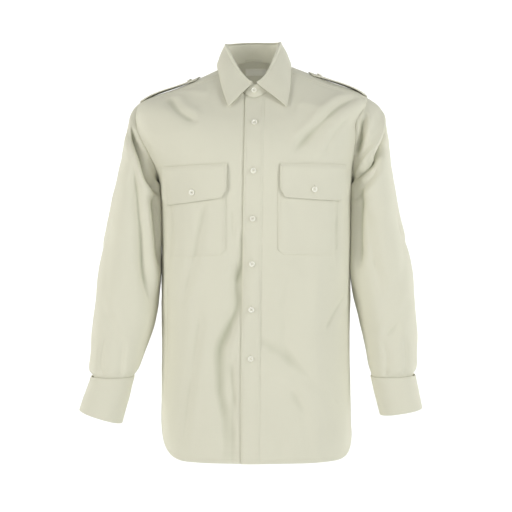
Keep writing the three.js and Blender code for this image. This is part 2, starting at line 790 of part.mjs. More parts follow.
// A narrow tape for a hanger, sewn to the inside of the stand at the back.
const tapeSides = [layerGap, layerGap + 1].map((deep) =>
  [0.03, 0.13].map((height) => [162, 174, 186, 198].map((angle) => standPoint(angle, height, -stiff - deep))),
);
add("hanger_tape", between(...tapeSides), sandCloth);

export default shirt;
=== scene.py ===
import math

import bpy
import numpy as np
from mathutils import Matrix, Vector


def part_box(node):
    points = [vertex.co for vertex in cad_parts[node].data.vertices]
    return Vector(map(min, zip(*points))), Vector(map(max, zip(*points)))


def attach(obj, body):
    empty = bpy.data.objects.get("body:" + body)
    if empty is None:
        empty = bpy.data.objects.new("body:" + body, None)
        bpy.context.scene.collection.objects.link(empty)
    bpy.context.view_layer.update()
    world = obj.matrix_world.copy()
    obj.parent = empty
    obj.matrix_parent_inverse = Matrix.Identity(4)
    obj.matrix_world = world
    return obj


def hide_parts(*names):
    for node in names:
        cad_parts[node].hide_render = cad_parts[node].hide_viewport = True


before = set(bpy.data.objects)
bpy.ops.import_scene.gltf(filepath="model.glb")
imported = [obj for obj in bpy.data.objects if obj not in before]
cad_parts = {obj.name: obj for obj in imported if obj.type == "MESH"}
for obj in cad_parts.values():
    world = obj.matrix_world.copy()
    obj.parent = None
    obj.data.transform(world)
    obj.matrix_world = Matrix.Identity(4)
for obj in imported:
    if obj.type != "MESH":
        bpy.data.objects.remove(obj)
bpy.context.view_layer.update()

mm = 0.001            # every size below is in millimetres, as on the cutting table
layerGap = 0.35       # clear gap between two layers of cloth
overlayGap = 0.7      # the same under a patch
armpitRing = 5
yokeRing = 7          # the middle of the yoke's back seam
neckRing = 10
sideSeam = 92         # degrees round the body, 0 at the front and 90 at the wearer's left
yokeStart, yokeEnd = 150, 225        # where the yoke meets the armhole, in degrees round it
yokeNeck = (62, 110)                 # and the neck: its front seam, and where its back half begins
hemToArmpit = {"front": 575, "back": 577}     # lengths of the panels below the armpit
bandPlaces = (1.2, 3, 5.2, 6.6, 8, 10.5)      # closer columns and rows beside a hem or seam,
patchPlaces = (1.0, 2.2, 4)                   # beside the edges of pockets and flaps,
bandEdge = (1.0, 2.4)                         # and of collar, stand and straps
sides = {1: "left", -1: "right"}

# The worn body from the hem to the neck seam: heights at front, right, left and back, depths,
# half widths, squareness of the section, and how fast the height changes round it.
bodyRings = [
    (-820, -820, -820, -820, -117, 112, 189, 201, 2.5, 2),
    (-700, -700, -700, -700, -117, 115, 190, 198, 2.5, 2),
    (-580, -580, -580, -580, -114, 108, 190, 195, 2.5, 2),
    (-460, -460, -460, -460, -113, 102, 190, 196, 2.5, 2),
    (-340, -340, -340, -340, -119, 112, 191, 197, 2.5, 2),
    (-235, -235, -235, -235, -125, 122, 196, 199, 2.6, 2),
    (-190, -183, -176, -165, -125, 127, 219, 208, 2.6, 2),
    (-152, -128, -120, -100, -118, 124, 246, 217, 2.6, 1.8),
    (-120, -78.5, -68.5, -50, -106, 112, 232, 229, 2.5, 1.6),
    (-97, -46, -34, -12, -92, 91, 151, 150, 2.2, 1.6),
    (-70, -8, -2, 10, -75, 66, 68, 68, 2, 1.7),
]
hem = {"front": -797, "back": -812, "riseLeft": 55, "riseRight": 80, "startLeft": 48, "startRight": 40,
       "backStart": 146, "curve": 2.4}
# The armhole in degrees round the body, before and behind its middle, and in rings.
armholeCut = {"middle": 91, "front": 20, "leftExtra": 9, "back": 24, "ring": 6.5, "half": 1.5}
placketLine = [(-830, -8), (-600, -7.8), (-400, -5.2), (-210, -2), (-60, 1)]  # z and x of its middle

# Stations of a sleeve from the armhole to the cuff: outer and inner edge, middle depth, half depth.
sleeveRows = {
    "left": [
        (229, -70, 199, -235, 0, 60, 2.2),
        (253, -89, 201, -240, 2, 66, 2.2),
        (268, -122, 199.8, -246, 4, 71, 2.2),
        (275, -168, 199.3, -254, 5, 75, 2.2),
        (283, -225, 198.9, -268, 5, 78, 2.2),
        (296, -292, 198.4, -305, 4, 77, 2.2),
        (312, -375, 197.6, -378, 0, 73, 2.2),
        (327, -457, 198, -452, -8, 68, 2.2),
        (331.5, -527, 215.5, -522, -18, 62, 2.3),
        (331.5, -577, 226, -572, -28, 56, 2.3),
        (330, -612, 231, -609, -40, 47, 2.3),
        (320.4, -627.2, 238.6, -629.8, -47, 36.4, 2.3),
        (321.9, -633.7, 240.7, -637.3, -47.7, 36.2, 2.3),
    ],
    "right": [
        (232, -77, 196, -235, 0, 60, 2.2),
        (248, -93, 197.6, -240, 1, 66, 2.2),
        (257, -124, 195.8, -246, 3, 71, 2.2),
        (268, -172, 195, -254, 4, 75, 2.2),
        (282, -232, 194, -268, 4, 78, 2.2),
        (297, -297, 192.7, -305, 3, 77, 2.2),
        (313, -378, 191.3, -378, 0, 73, 2.2),
        (323, -458, 191.6, -455, -8, 68, 2.2),
        (331, -527, 203, -522, -18, 62, 2.3),
        (334, -580, 220, -575, -28, 56, 2.3),
        (335, -616, 233, -612, -40, 47, 2.3),
        (325.4, -630, 246.6, -630, -47, 36.4, 2.3),
        (327.7, -636.8, 249.2, -639.3, -47.7, 36.2, 2.3),
    ],
}
cuffRows = {
    "left": [(325, -627, 234, -630, -47, 41, 2.3), (338.5, -694, 253, -708, -54, 39, 2.3)],
    "right": [(330, -630, 242, -630, -47, 41, 2.3), (354, -698, 267, -725, -54, 39, 2.3)],
}

# Folds, drawn one by one: half width, depth (minus for a ridge), ridge beside it (plus: on the left
# of the way it runs, seen from outside) and the points it runs through, seen from that side.
frontFolds = [
    (10, 5.5, 0.4, [(-172, -68), (-146, -98), (-109, -120)]),
    (14, -3, 0, [(-166, -57), (-125, -56), (-87, -62)]),
    (10, 6.5, -0.45, [(213, -65), (177, -81), (148, -102), (125, -127), (99, -157), (78, -178)]),
    (7, 2.5, -0.4, [(187, -108), (168, -131), (148, -161), (137, -190)]),
    (15, -2.4, 0, [(84, -78), (118, -84), (150, -98)]),
    (15, 11, 0.2, [(-25, -330), (-29, -395), (-31, -434), (-38, -485), (-57, -525), (-68, -573), (-68, -647),
                   (-64, -713), (-62, -860)]),
    (17, 7.5, 0, [(-52, -565), (-46, -650), (-44, -713), (-44, -860)]),
    (9, 3.5, 0, [(-40, -560), (-45, -620), (-38, -700)]),
    (9, 3, 0.3, [(-28, -330), (-33, -390), (-31, -440)]),
    (16, 3.2, -0.5, [(10, -545), (66, -584), (130, -640), (186, -700)]),
    (12, 2.2, 0.4, [(70, -648), (100, -706), (112, -790)]),
    (9, 3.8, 0.4, [(188, -462), (164, -498), (138, -535)]),
    (7, 2.8, 0, [(-178, -440), (-181, -560), (-178, -690)]),
    (7, 2.2, 0.3, [(-42, -282), (-48, -340), (-46, -400)]),
    (11, 3, 0.35, [(-94, -273), (-118, -380), (-146, -487)]),
    (12, 3.4, 0.35, [(-108, -487), (-128, -620), (-146, -775)]),
    (24, 2.8, 0, [(66, -400), (58, -520), (82, -700)]),
    (22, -2.6, 0, [(128, -400), (120, -560), (150, -740)]),
    (8, 2.4, 0.3, [(172, -250), (160, -330), (166, -420)]),
    (9, 2.4, -0.3, [(-176, -230), (-168, -330), (-174, -430)]),
]
backFolds = [
    (13, 5.5, 0.4, [(-184, -222), (-134, -298), (-88, -368), (-58, -436)]),
    (13, 6, -0.4, [(180, -208), (130, -286), (94, -344), (66, -404)]),
    (9, 3, 0.4, [(-170, -180), (-120, -202), (-66, -206)]),
    (9, 3, -0.4, [(172, -172), (124, -196), (58, -214)]),
    (15, 5.5, 0.35, [(-94, -462), (-86, -560), (-72, -650), (-60, -750)]),
    (14, 5, -0.35, [(82, -424), (76, -540), (88, -640), (98, -730)]),
    (20, -3.6, 0, [(-2, -490), (8, -640), (14, -800)]),
    (9, 3, 0.4, [(-146, -500), (-154, -610), (-140, -720)]),
    (9, 3.2, -0.4, [(142, -480), (150, -600), (152, -710)]),
    (7, 2.4, 0.4, [(-26, -420), (-34, -500), (-22, -590)]),
    (8, 2.2, 0, [(36, -230), (30, -330), (38, -400)]),
    (22, 2.2, 0, [(-30, -160), (-40, -280), (-20, -380)]),
]
# On the sleeves x is the distance from the middle; "outer" points are y, z on the outer side.
sleeveFolds = {
    "left": [
        ("front", 7, 11, 0.4, [(221, -88), (214, -130), (210, -162), (201, -186)]),
        ("front", 8, 21, -0.45, [(244, -62), (262, -100), (265, -130), (261, -154), (250, -178), (228, -206),
                                 (203, -238)]),
        ("front", 7, 5, 0.4, [(252, -196), (234, -226), (212, -258), (203, -276)]),
        ("front", 11, 9, 0.3, [(215, -250), (211, -320), (214, -414)]),
        ("front", 16, -3.4, 0, [(238, -400), (250, -500), (266, -600)]),
        ("front", 13, 4.4, 0.3, [(226, -286), (236, -380), (256, -470)]),
        ("front", 14, 2.4, -0.3, [(296, -300), (300, -400), (284, -500)]),
        ("front", 11, 3, -0.4, [(312, -476), (286, -520), (252, -560)]),
        ("front", 7, 3, 0.3, [(262, -628), (266, -594), (256, -548)]),
        ("front", 7, 3, -0.3, [(298, -628), (304, -590), (300, -540)]),
        ("back", 8, 7, 0.5, [(240, -112), (246, -150), (228, -192), (203, -226)]),
        ("back", 9, 5, 0.4, [(262, -190), (238, -236), (206, -270)]),
        ("back", 14, 4.6, 0.3, [(240, -290), (252, -400), (286, -490)]),
        ("back", 14, -3.2, 0, [(270, -280), (286, -380), (300, -470)]),
        ("back", 9, 4, 0.4, [(208, -400), (244, -428), (286, -438)]),
        ("back", 8, 3.4, 0.4, [(210, -446), (250, -474), (296, -480)]),
        ("back", 10, 4, -0.4, [(316, -520), (290, -556), (262, -590)]),
        ("back", 6, 3.6, 0.3, [(300, -630), (304, -596), (296, -556)]),
        ("back", 6, 3, 0.3, [(278, -630), (276, -600), (282, -566)]),
        ("outer", 10, 3.6, 0.4, [(-40, -150), (-6, -196), (34, -262)]),
        ("outer", 12, 3, -0.3, [(46, -330), (10, -420), (-30, -500)]),
        ("outer", 10, 3, 0.3, [(-50, -300), (-20, -352), (18, -380)]),
        ("outer", 8, 3, 0.3, [(-30, -626), (-34, -580), (-14, -540)]),
    ],
    "right": [
        ("front", 8.5, 17, -0.4, [(247, -126), (238, -152), (228, -184), (211, -232), (197, -268)]),
        ("front", 12, 11, 0.35, [(243, -176), (235, -262), (226, -340), (219, -420), (208, -503)]),
        ("front", 9, -4, 0, [(222, -262), (213, -350), (203, -452)]),
        ("front", 8, 9, 0, [(206, -262), (201, -330), (196, -420)]),
        ("front", 13, 2.2, -0.3, [(292, -320), (300, -420), (290, -500)]),
        ("front", 11, 3, 0.4, [(312, -472), (290, -520), (262, -566)]),
        ("front", 7, 3.2, -0.3, [(268, -630), (270, -594), (262, -548)]),
        ("front", 7, 3, 0.3, [(304, -630), (308, -590), (302, -540)]),
        ("back", 8, 7, -0.5, [(244, -118), (246, -156), (226, -196), (200, -226)]),
        ("back", 9, 5, -0.4, [(258, -194), (232, -240), (200, -276)]),
        ("back", 14, 4.6, -0.3, [(236, -290), (250, -400), (288, -500)]),
        ("back", 14, -3.2, 0, [(268, -280), (286, -380), (302, -470)]),
        ("back", 9, 4, -0.4, [(202, -404), (240, -432), (284, -440)]),
        ("back", 8, 3.2, -0.4, [(204, -452), (246, -480), (296, -486)]),
        ("back", 10, 4, 0.4, [(318, -524), (292, -560), (266, -594)]),
        ("back", 6, 3.6, -0.3, [(306, -632), (310, -598), (300, -558)]),
        ("back", 6, 3, -0.3, [(284, -632), (282, -602), (288, -568)]),
        ("outer", 10, 3.6, -0.4, [(-40, -156), (-6, -204), (34, -270)]),
        ("outer", 12, 3, 0.3, [(46, -336), (10, -426), (-30, -506)]),
        ("outer", 10, 3, -0.3, [(-50, -306), (-20, -358), (18, -386)]),
        ("outer", 8, 3, -0.3, [(-30, -628), (-34, -584), (-14, -544)]),
    ],
}


# Numbers and grids

def smooth(x, low, high):
    t = np.clip((np.asarray(x, float) - low) / (high - low), 0, 1)
    return t * t * (3 - 2 * t)


def mix(a, b, t):
    return a + (b - a) * t


def signedPower(value, power):
    return np.sign(value) * np.abs(value) ** power


def unit(v):
    return v / np.maximum(np.linalg.norm(v, axis=-1, keepdims=True), 1e-9)


# Rows read along a smooth curve through them.
def curveRow(rows, t):
    rows = np.asarray(rows, float)
    last = len(rows) - 1
    t = np.clip(np.asarray(t, float), 0, last)
    i = np.clip(np.floor(t).astype(int), 0, last - 1)
    f = (t - i)[..., None]
    a, b, c, d = (rows[np.clip(i + k, 0, last)] for k in (-1, 0, 1, 2))
    return b + 0.5 * f * (c - a + f * (2 * a - 5 * b + 4 * c - d + f * (3 * b - a - 3 * c + d)))


# Places from 0 to 1 along a length: even steps, and closer ones beside both ends.
def spaced(length, step, tight=()):
    even = np.linspace(0, 1, max(2, int(round(length / step)) + 1))
    near = np.array(tight, float) / length
    keep = even[(even == 0) | (even == 1) | ((even > near.max(initial=0) + 0.4 * step / length)
                                             & (even < 1 - near.max(initial=0) - 0.4 * step / length))]
    return np.unique(np.concatenate([keep, near, 1 - near]))


# Distance down the columns (axis 0) or along the rows (axis 1) of a grid of points.
def reach(grid, axis):
    way = np.linalg.norm(np.diff(grid, axis=axis), axis=-1).cumsum(axis)
    return np.concatenate([np.zeros_like(way.take([0], axis)), way], axis)


# Distance along the rows to the last column.
def toLast(grid):
    return reach(grid[:, ::-1], 1)[:, ::-1]


def slopes(shape, u, v, du, dv):
    across = shape(u + du, v) - shape(u - du, v)
    up = shape(u, v + dv) - shape(u, v - dv)
    return unit(np.cross(across, up))


def waves(seed, count, size, stretch=(1, 1, 1)):
    random = np.random.default_rng(seed)
    way = unit(random.normal(size=(count, 3))) / np.array(stretch)
    lengths = size * random.uniform(0.75, 1.4, (count, 1))
    return way * (2 * math.pi / lengths), random.uniform(0, 6.28, count)


def ripple(points, wave):
    way, phase = wave
    return np.sin(points @ way.T + phase).sum(-1) / math.sqrt(len(phase))


softSag = waves(3, 14, 105, (1, 1, 2.4))     # slow swells of hanging cloth
lightWrinkle = waves(5, 18, 34, (1, 1, 1.5))
seamPucker = waves(8, 10, 15)


# Folds as lines in space

# In widths of the fold: its reach, and the place and width of the ridge beside it. Steep is a power.
foldForm = {"reach": 3.4, "ridgeAt": 1.75, "ridgeWide": 0.95, "steep": 1.4}
facingView = 0.12      # how much a point has to face the view for a fold to be drawn on it


def foldLines(rows, grid, normals, side=1):
    flat, out = grid.reshape(-1, 3), normals.reshape(-1, 3)
    lines = []
    for view, wide, deep, ridge, points in rows:
        if view in ("front", "back"):
            facing = out[:, 1] * (-1 if view == "front" else 1)
            pair, sign = (0, 2), np.array([side, 1])
        else:
            facing, pair, sign = out[:, 0] * side, (1, 2), np.array([1, 1])
        seen = flat[facing > facingView]
        found = []
        for point in points:
            away = ((seen[:, pair] - np.array(point) * sign) ** 2).sum(-1)
            found.append(seen[away.argmin()])
        line = curveRow(found, np.linspace(0, len(found) - 1, 30 * (len(found) - 1) + 1))
        look = {"front": (0, -1, 0), "back": (0, 1, 0), "outer": (side, 0, 0)}[view]
        lines.append({"line": line, "way": unit(np.gradient(line, axis=0)), "look": np.array(look, float),
                      "wide": wide, "deep": deep, "ridge": ridge})
    return lines


def foldRelief(points, normals, lines):
    flat, out = points.reshape(-1, 3), normals.reshape(-1, 3)
    total = np.zeros(len(flat))
    for fold in lines:
        line, wide = fold["line"], fold["wide"]
        limit = foldForm["reach"] * wide + 6
        close = np.flatnonzero(((flat > line.min(0) - limit) & (flat < line.max(0) + limit)).all(-1))
        if not len(close):
            continue
        p, n = flat[close], out[close]
        away = ((p[:, None] - line[None]) ** 2).sum(-1)
        nearest = away.argmin(1)
        gap, way = p - line[nearest], fold["way"][nearest]
        along = nearest / (len(line) - 1)
        beyond = (gap * way).sum(-1)
        across = (gap * unit(np.cross(n, way))).sum(-1)
        ends = smooth(along, -0.02, 0.22) * (1 - smooth(along, 0.74, 1.02))
        ends = ends * np.exp(-(beyond / wide) ** 2) * (away.min(1) < (limit + 14) ** 2)
        a = across / (wide * (0.6 + 0.4 * ends))
        dip = -np.exp(-np.abs(a) ** foldForm["steep"])
        fromRidge = (a * np.sign(fold["ridge"] or 1) - foldForm["ridgeAt"]) / foldForm["ridgeWide"]
        dip = dip + abs(fold["ridge"]) * np.exp(-fromRidge ** 2)
        turned = smooth(n @ fold["look"], 0.02, 0.5)      # a fold dies out where the cloth turns away
        total[close] += fold["deep"] * ends * turned * dip
    return total.reshape(points.shape[:-1])


# The body's surface

def bodyForm(angle, ring):
    angle, ring = np.broadcast_arrays(np.asarray(angle, float), np.asarray(ring, float))
    zF, zR, zL, zB, yF, yB, xR, xL, square, run = np.moveaxis(curveRow(bodyRings, ring), -1, 0)
    s, c = np.sin(np.radians(angle)), np.cos(np.radians(angle))
    s, c = np.where(np.abs(s) < 1e-9, 0, s), np.where(np.abs(c) < 1e-9, 0, c)
    zSide = np.where(s >= 0, zL, zR)
    return np.stack([
        np.where(s >= 0, xL, xR) * signedPower(s, 2 / square),
        np.where(c >= 0, yF, yB) * signedPower(c, 2 / square) * np.sign(c),
        zSide + (np.where(c >= 0, zF, zB) - zSide) * (1 - np.abs(s) ** run),
    ], -1)


def bodyNormal(angle, ring):
    return slopes(bodyForm, np.asarray(angle, float), np.asarray(ring, float), 0.4, 0.02)


def makeBodyFolds():
    angle, ring = np.meshgrid(np.arange(0.5, 360, 2.5), np.arange(0.05, 10, 0.05))
    rows = [("front", *fold) for fold in frontFolds] + [("back", *fold) for fold in backFolds]
    return foldLines(rows, bodyForm(angle, ring), bodyNormal(angle, ring))


bodyFolds = makeBodyFolds()


# Ease is how far the cloth follows its small wrinkles: less on stiff, doubled cloth.
def bodyCloth(angle, ring, lift=0.0, ease=1.0):
    p, n = bodyForm(angle, ring), bodyNormal(angle, ring)
    calm = smooth(np.abs(p[..., 2]), 60, 150) * ease
    relief = foldRelief(p, n, bodyFolds) + calm * (1.1 * ripple(p, softSag) + 0.28 * ripple(p, lightWrinkle))
    return p + n * (relief + lift)[..., None]


def angleOf(x, ring):
    r = curveRow(bodyRings, ring)
    part = np.clip(np.abs(x) / np.where(np.asarray(x) > 0, r[..., 7], r[..., 6]), 0, 0.9995)
    return np.sign(x) * np.degrees(np.arcsin(part ** (r[..., 8] / 2)))


def solveRing(height, wanted, top):
    low, high = np.zeros_like(wanted, float), np.full_like(wanted, top, float)
    for _ in range(34):
        middle = (low + high) / 2
        under = height(middle) < wanted
        low, high = np.where(under, middle, low), np.where(under, high, middle)
    return low


def ringAt(angle, z):
    return solveRing(lambda t: bodyForm(angle, t)[..., 2], z, armpitRing + 1)


# Angle and ring of the place that the front view shows at x, z.
def spot(x, z):
    ring = solveRing(lambda t: bodyForm(angleOf(x, t), t)[..., 2], z, neckRing)
    return angleOf(x, ring), ring


# Its own angle: 0 armpit, 90 front, 180 shoulder, 270 back; gives the body's angle and ring.
def armhole(side, phi):
    s, c = np.sin(np.radians(phi)), np.cos(np.radians(phi))
    front = armholeCut["front"] + (armholeCut["leftExtra"] * smooth(phi, 80, 130) if side > 0 else 0)
    angle = armholeCut["middle"] + c + np.where(s > 0, -front, armholeCut["back"]) * np.abs(s) ** 0.8
    return angle, armholeCut["ring"] - armholeCut["half"] * c


def hemHeight(angle):
    left = np.sin(np.radians(angle)) >= 0
    a = np.abs(np.where(angle > 180, angle - 360, angle))
    rise = np.where(left, hem["riseLeft"], hem["riseRight"])
    start = np.where(left, hem["startLeft"], hem["startRight"])
    toBack = np.maximum(0, (hem["backStart"] - a) / (hem["backStart"] - sideSeam))
    toFront = np.maximum(0, (a - start) / (sideSeam - start))
    back = hem["back"] + (hem["front"] + rise - hem["back"]) * toBack ** hem["curve"]
    front = hem["front"] + rise * toFront ** hem["curve"]
    return np.where(a < sideSeam, front, back)


def placketMiddle(ring):
    z = curveRow(bodyRings, ring)[..., 0]
    return np.interp(z, [row[0] for row in placketLine], [row[1] for row in placketLine])


# Meshes from grids of points, rows by columns

surfaces = {}       # name: outer points and normals, for the sewing


def gridNormals(grid, wrap=False):
    if wrap:
        across = np.roll(grid, -1, 1) - np.roll(grid, 1, 1)
    else:
        across = np.gradient(grid, axis=1)
    return unit(np.cross(across, np.gradient(grid, axis=0)))


smoothing = 55      # rounds that flatten a fold before its hollow is measured


# How far each point lies below the smoothed surface, in mm: how much shade is painted into the creases.
def creaseShadeDepths(grid, normals, wrap):
    soft = grid
    for _ in range(smoothing):
        first, last = (soft[:, -1:], soft[:, :1]) if wrap else (soft[:, :1], soft[:, -1:])
        wide = np.concatenate([first, soft, last], 1)
        soft = soft * 0.5 + (wide[:, :-2] + wide[:, 2:]) * 0.25
        tall = np.concatenate([soft[:1], soft, soft[-1:]])
        soft = soft * 0.5 + (tall[:-2] + tall[2:]) * 0.25
    return ((soft - grid) * normals).sum(-1)


# An open sheet of quads with a UV map in metres; its faces look away from the centre.
def clothMesh(name, grid, centre, wrap=False):
    rows, columns = grid.shape[:2]
    normals = gridNormals(grid, wrap)
    outwards = (normals * (grid - centre)).sum(-1).mean() > 0
    surfaces[name] = (grid, normals if outwards else -normals)
    spans = columns if wrap else columns - 1
    j, i = np.meshgrid(np.arange(rows - 1), np.arange(spans), indexing="ij")
    k = (i + 1) % columns
    quads = np.stack([j * columns + i, j * columns + k, (j + 1) * columns + k, (j + 1) * columns + i], -1)
    row = np.concatenate([grid, grid[:, :1]], 1) if wrap else grid
    u, v = reach(row, 1), reach(row, 0)
    u = u - u.mean(1, keepdims=True)
    corners = [(j, i), (j, i + 1), (j + 1, i + 1), (j + 1, i)]
    uv = np.stack([np.stack([u[a, b], v[a, b]], -1) for a, b in corners], -2) * mm
    if not outwards:
        quads, uv = quads[..., ::-1], uv[..., ::-1, :]
    mesh = bpy.data.meshes.new(name)
    mesh.from_pydata((grid * mm).reshape(-1, 3).tolist(), [], quads.reshape(-1, 4).tolist())
    layer = mesh.uv_layers.new(name="cloth")
    layer.data.foreach_set("uv", uv.reshape(-1).astype(np.float32))
    # painted shade for the creases, by how deep each point lies in one
    depth = mesh.attributes.new("creaseShade", "FLOAT", "POINT")
    depth.data.foreach_set("value", creaseShadeDepths(*surfaces[name], wrap).reshape(-1).astype(np.float32))
    mesh.polygons.foreach_set("use_smooth", [True] * len(mesh.polygons))
    return mesh


# The piece with its modifiers made real.
def plainMesh(piece):
    bpy.context.view_layer.update()
    made = bpy.data.meshes.new_from_object(piece.evaluated_get(bpy.context.evaluated_depsgraph_get()))
    piece.modifiers.clear()
    old = piece.data
    piece.data = made
    made.name = piece.name
    bpy.data.meshes.remove(old)
    return piece


def newPiece(name, mesh, material):
    piece = bpy.data.objects.new(name, mesh)
    bpy.context.scene.collection.objects.link(piece)
    mesh.materials.clear()
    mesh.materials.append(material)
    return piece


# A thin shell of cloth in place of the CAD node of the same name.
def clothPiece(name, grid, settings, centre=(0, 0, -400), wrap=False, material=None):
    mesh = clothMesh(name, grid, np.array(centre, float), wrap)
    piece = newPiece(name + "_cloth", mesh, material or clothMaterial)
    wall = piece.modifiers.new("wall", "SOLIDIFY")
    wall.thickness, wall.offset = settings["thick"] * mm, -1
    edge = piece.modifiers.new("turned edge", "BEVEL")
    edge.width, edge.segments = settings["thick"] * 0.42 * mm, 2
    edge.limit_method, edge.angle_limit = "ANGLE", math.radians(50)
    plainMesh(piece)
    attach(piece, "root")
    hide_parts(name)


# Materials

def newMaterial(name, colour, roughness):
    material = bpy.data.materials.new(name)
    material.use_nodes = True
    material.diffuse_color = (*colour, 1)
    shader = material.node_tree.nodes["Principled BSDF"]
    shader.inputs["Roughness"].default_value = roughness
    return material, material.node_tree, shader


# A node with its sources or values in the order of its sockets, and settings by name.
def addNode(tree, kind, *sources, **values):
    node = tree.nodes.new(kind)
    for key, value in values.items():
        if key in node.inputs:
            node.inputs[key].default_value = value
        else:
            setattr(node, key, value)
    for socket, source in zip(node.inputs, sources):
        if isinstance(source, bpy.types.NodeSocket):
            tree.links.new(source, socket)
        else:
            socket.default_value = source
    return node


def worked(tree, operation, *sources):
    return addNode(tree, "ShaderNodeMath", *sources, operation=operation).outputs[0]


# Two colours by a factor, or one laid over the other.
def mixedColour(tree, factor, first, second, blend="MIX"):
    node = addNode(tree, "ShaderNodeMix", factor, data_type="RGBA", blend_type=blend)
    for socket, source in ((node.inputs[6], first), (node.inputs[7], second)):
        if isinstance(source, bpy.types.NodeSocket):
            tree.links.new(source, socket)
        else:
            socket.default_value = (*source, 1)
    return node.outputs[2]


# Raised threads one way of the cloth.
def weave(tree, source, threads, way):
    split = addNode(tree, "ShaderNodeSeparateXYZ", source)
    return worked(tree, "SINE", worked(tree, "MULTIPLY", split.outputs[way], 2 * math.pi / (threads * mm)))


# A noise drawn out differently each way: uneven yarn, or the swirl in a button.
def drawnNoise(tree, source, size, place=(0, 0, 0), **values):
    drawn = addNode(tree, "ShaderNodeMapping", source, Scale=size, Location=place).outputs[0]
    return addNode(tree, "ShaderNodeTexNoise", drawn, Scale=1.0, Detail=2.0, **values).outputs["Fac"]


def makeCloth(name, settings):
    material, tree, shader = newMaterial(name, settings["colour"], settings["roughness"])
    uv = addNode(tree, "ShaderNodeUVMap", uv_map="cloth").outputs[0]
    place = addNode(tree, "ShaderNodeTexCoord").outputs["Object"]
    warp = drawnNoise(tree, uv, (900, 30, 1), (3, 5.1, 0))
    weft = drawnNoise(tree, uv, (24, 1100, 1), (11, 18.7, 0))
    yarns = worked(tree, "ADD", warp, weft)
    cloud = addNode(tree, "ShaderNodeTexNoise", place, Scale=7.0, Detail=3.0).outputs["Fac"]
    tone = worked(tree, "MULTIPLY_ADD", yarns, settings["slub"], cloud)
    share = addNode(tree, "ShaderNodeMapRange", tone, 0.2, 1.1 + settings["slub"]).outputs[0]
    dark = [c * settings["shade"] for c in settings["colour"]]
    light = [min(1, c * settings["tint"]) for c in settings["colour"]]
    colour = mixedColour(tree, share, dark, light)
    # painted shade: the cloth's colour is darkened in the creases, where shade falls
    creaseShade = addNode(tree, "ShaderNodeAttribute", attribute_name="creaseShade").outputs["Fac"]
    depth = addNode(tree, "ShaderNodeMapRange", creaseShade, 0, settings["creaseDepth"]).outputs[0]
    creaseShaded = mixedColour(tree, depth, colour, settings["crease"], "MULTIPLY")
    tree.links.new(creaseShaded, shader.inputs["Base Color"])
    across = weave(tree, uv, settings["threads"], "X")
    threads = worked(tree, "MULTIPLY", across, weave(tree, uv, settings["threads"] * 1.15, "Y"))
    relief = worked(tree, "MULTIPLY_ADD", threads, 0.35, yarns)
    bump = addNode(tree, "ShaderNodeBump", Strength=settings["bump"], Distance=0.0004)
    tree.links.new(relief, bump.inputs["Height"])
    tree.links.new(bump.outputs[0], shader.inputs["Normal"])
    shader.inputs["Sheen Weight"].default_value = settings["sheen"]
    shader.inputs["Sheen Roughness"].default_value = 0.5
    shader.inputs["Specular IOR Level"].default_value = 0.25
    return material


def makeResin(name, colour):
    material, tree, shader = newMaterial(name, colour, 0.32)
    place = addNode(tree, "ShaderNodeTexCoord").outputs["Object"]
    swirl = drawnNoise(tree, place, (260, 260, 900), Distortion=1.2)
    tone = mixedColour(tree, swirl, [c * 0.9 for c in colour], [min(1, c * 1.05) for c in colour])
    tree.links.new(tone, shader.inputs["Base Color"])
    shader.inputs["Coat Weight"].default_value = 0.25
    shader.inputs["Coat Roughness"].default_value = 0.2
    shader.inputs["Subsurface Weight"].default_value = 0.08
    shader.inputs["Subsurface Radius"].default_value = (0.002, 0.0018, 0.0014)
    return material


# the last two settings paint shade into the creases: the depth in mm for full shade, and the shade's colour
clothSettings = {"colour": (0.665, 0.655, 0.535), "roughness": 0.86, "sheen": 0.12, "bump": 0.35,
                 "threads": 0.9, "slub": 0.5, "shade": 0.965, "tint": 1.03,
                 "creaseDepth": 9, "crease": (0.54, 0.57, 0.48)}
labelSettings = {**clothSettings, "colour": (0.84, 0.83, 0.74), "threads": 0.6, "bump": 0.5}
threadSettings = {**clothSettings, "colour": (0.69, 0.68, 0.56), "threads": 0.5, "bump": 0.4, "sheen": 0.2}
clothMaterial = makeCloth("sand poplin", clothSettings)
labelMaterial = makeCloth("woven label tape", labelSettings)
threadMaterial = makeCloth("sewing thread", threadSettings)
resinMaterial = makeResin("ivory resin", (0.9, 0.89, 0.79))
print("materials made")


# Fronts, back and yoke

panelStep = 3.3
band = {"wide": 7, "raised": 0.45}      # a turned hem or a felled seam
frontSettings = {"thick": 1.1, "cut": (0.30, 0.79), "area": 0.209, "across": 190, "on": ["shoulder_rest"]}
frontStrips = {       # columns under the placket, from its middle
    "left": (-18.6, -14, -9, -4.5, 0, 4.5, 9, 14, 17, 19),
    "right": (16, 12, 8, 4, 0, -4, -8, -12, -16, -18, -20, -22.5, -26),
}


# The extra thickness at some distance from the edge of a band.
def bandLift(distance, raised=band["raised"]):
    edge = smooth(distance, band["wide"] - 0.8, band["wide"] + 0.8)
    return raised * (1 - edge) * smooth(distance, -0.4, 0.8)


# Shares of the way from the hem to the armpit, up to a little below it.
def lowParts():
    places = spaced(hemToArmpit["front"], panelStep, bandPlaces)
    return places[places < 0.992]


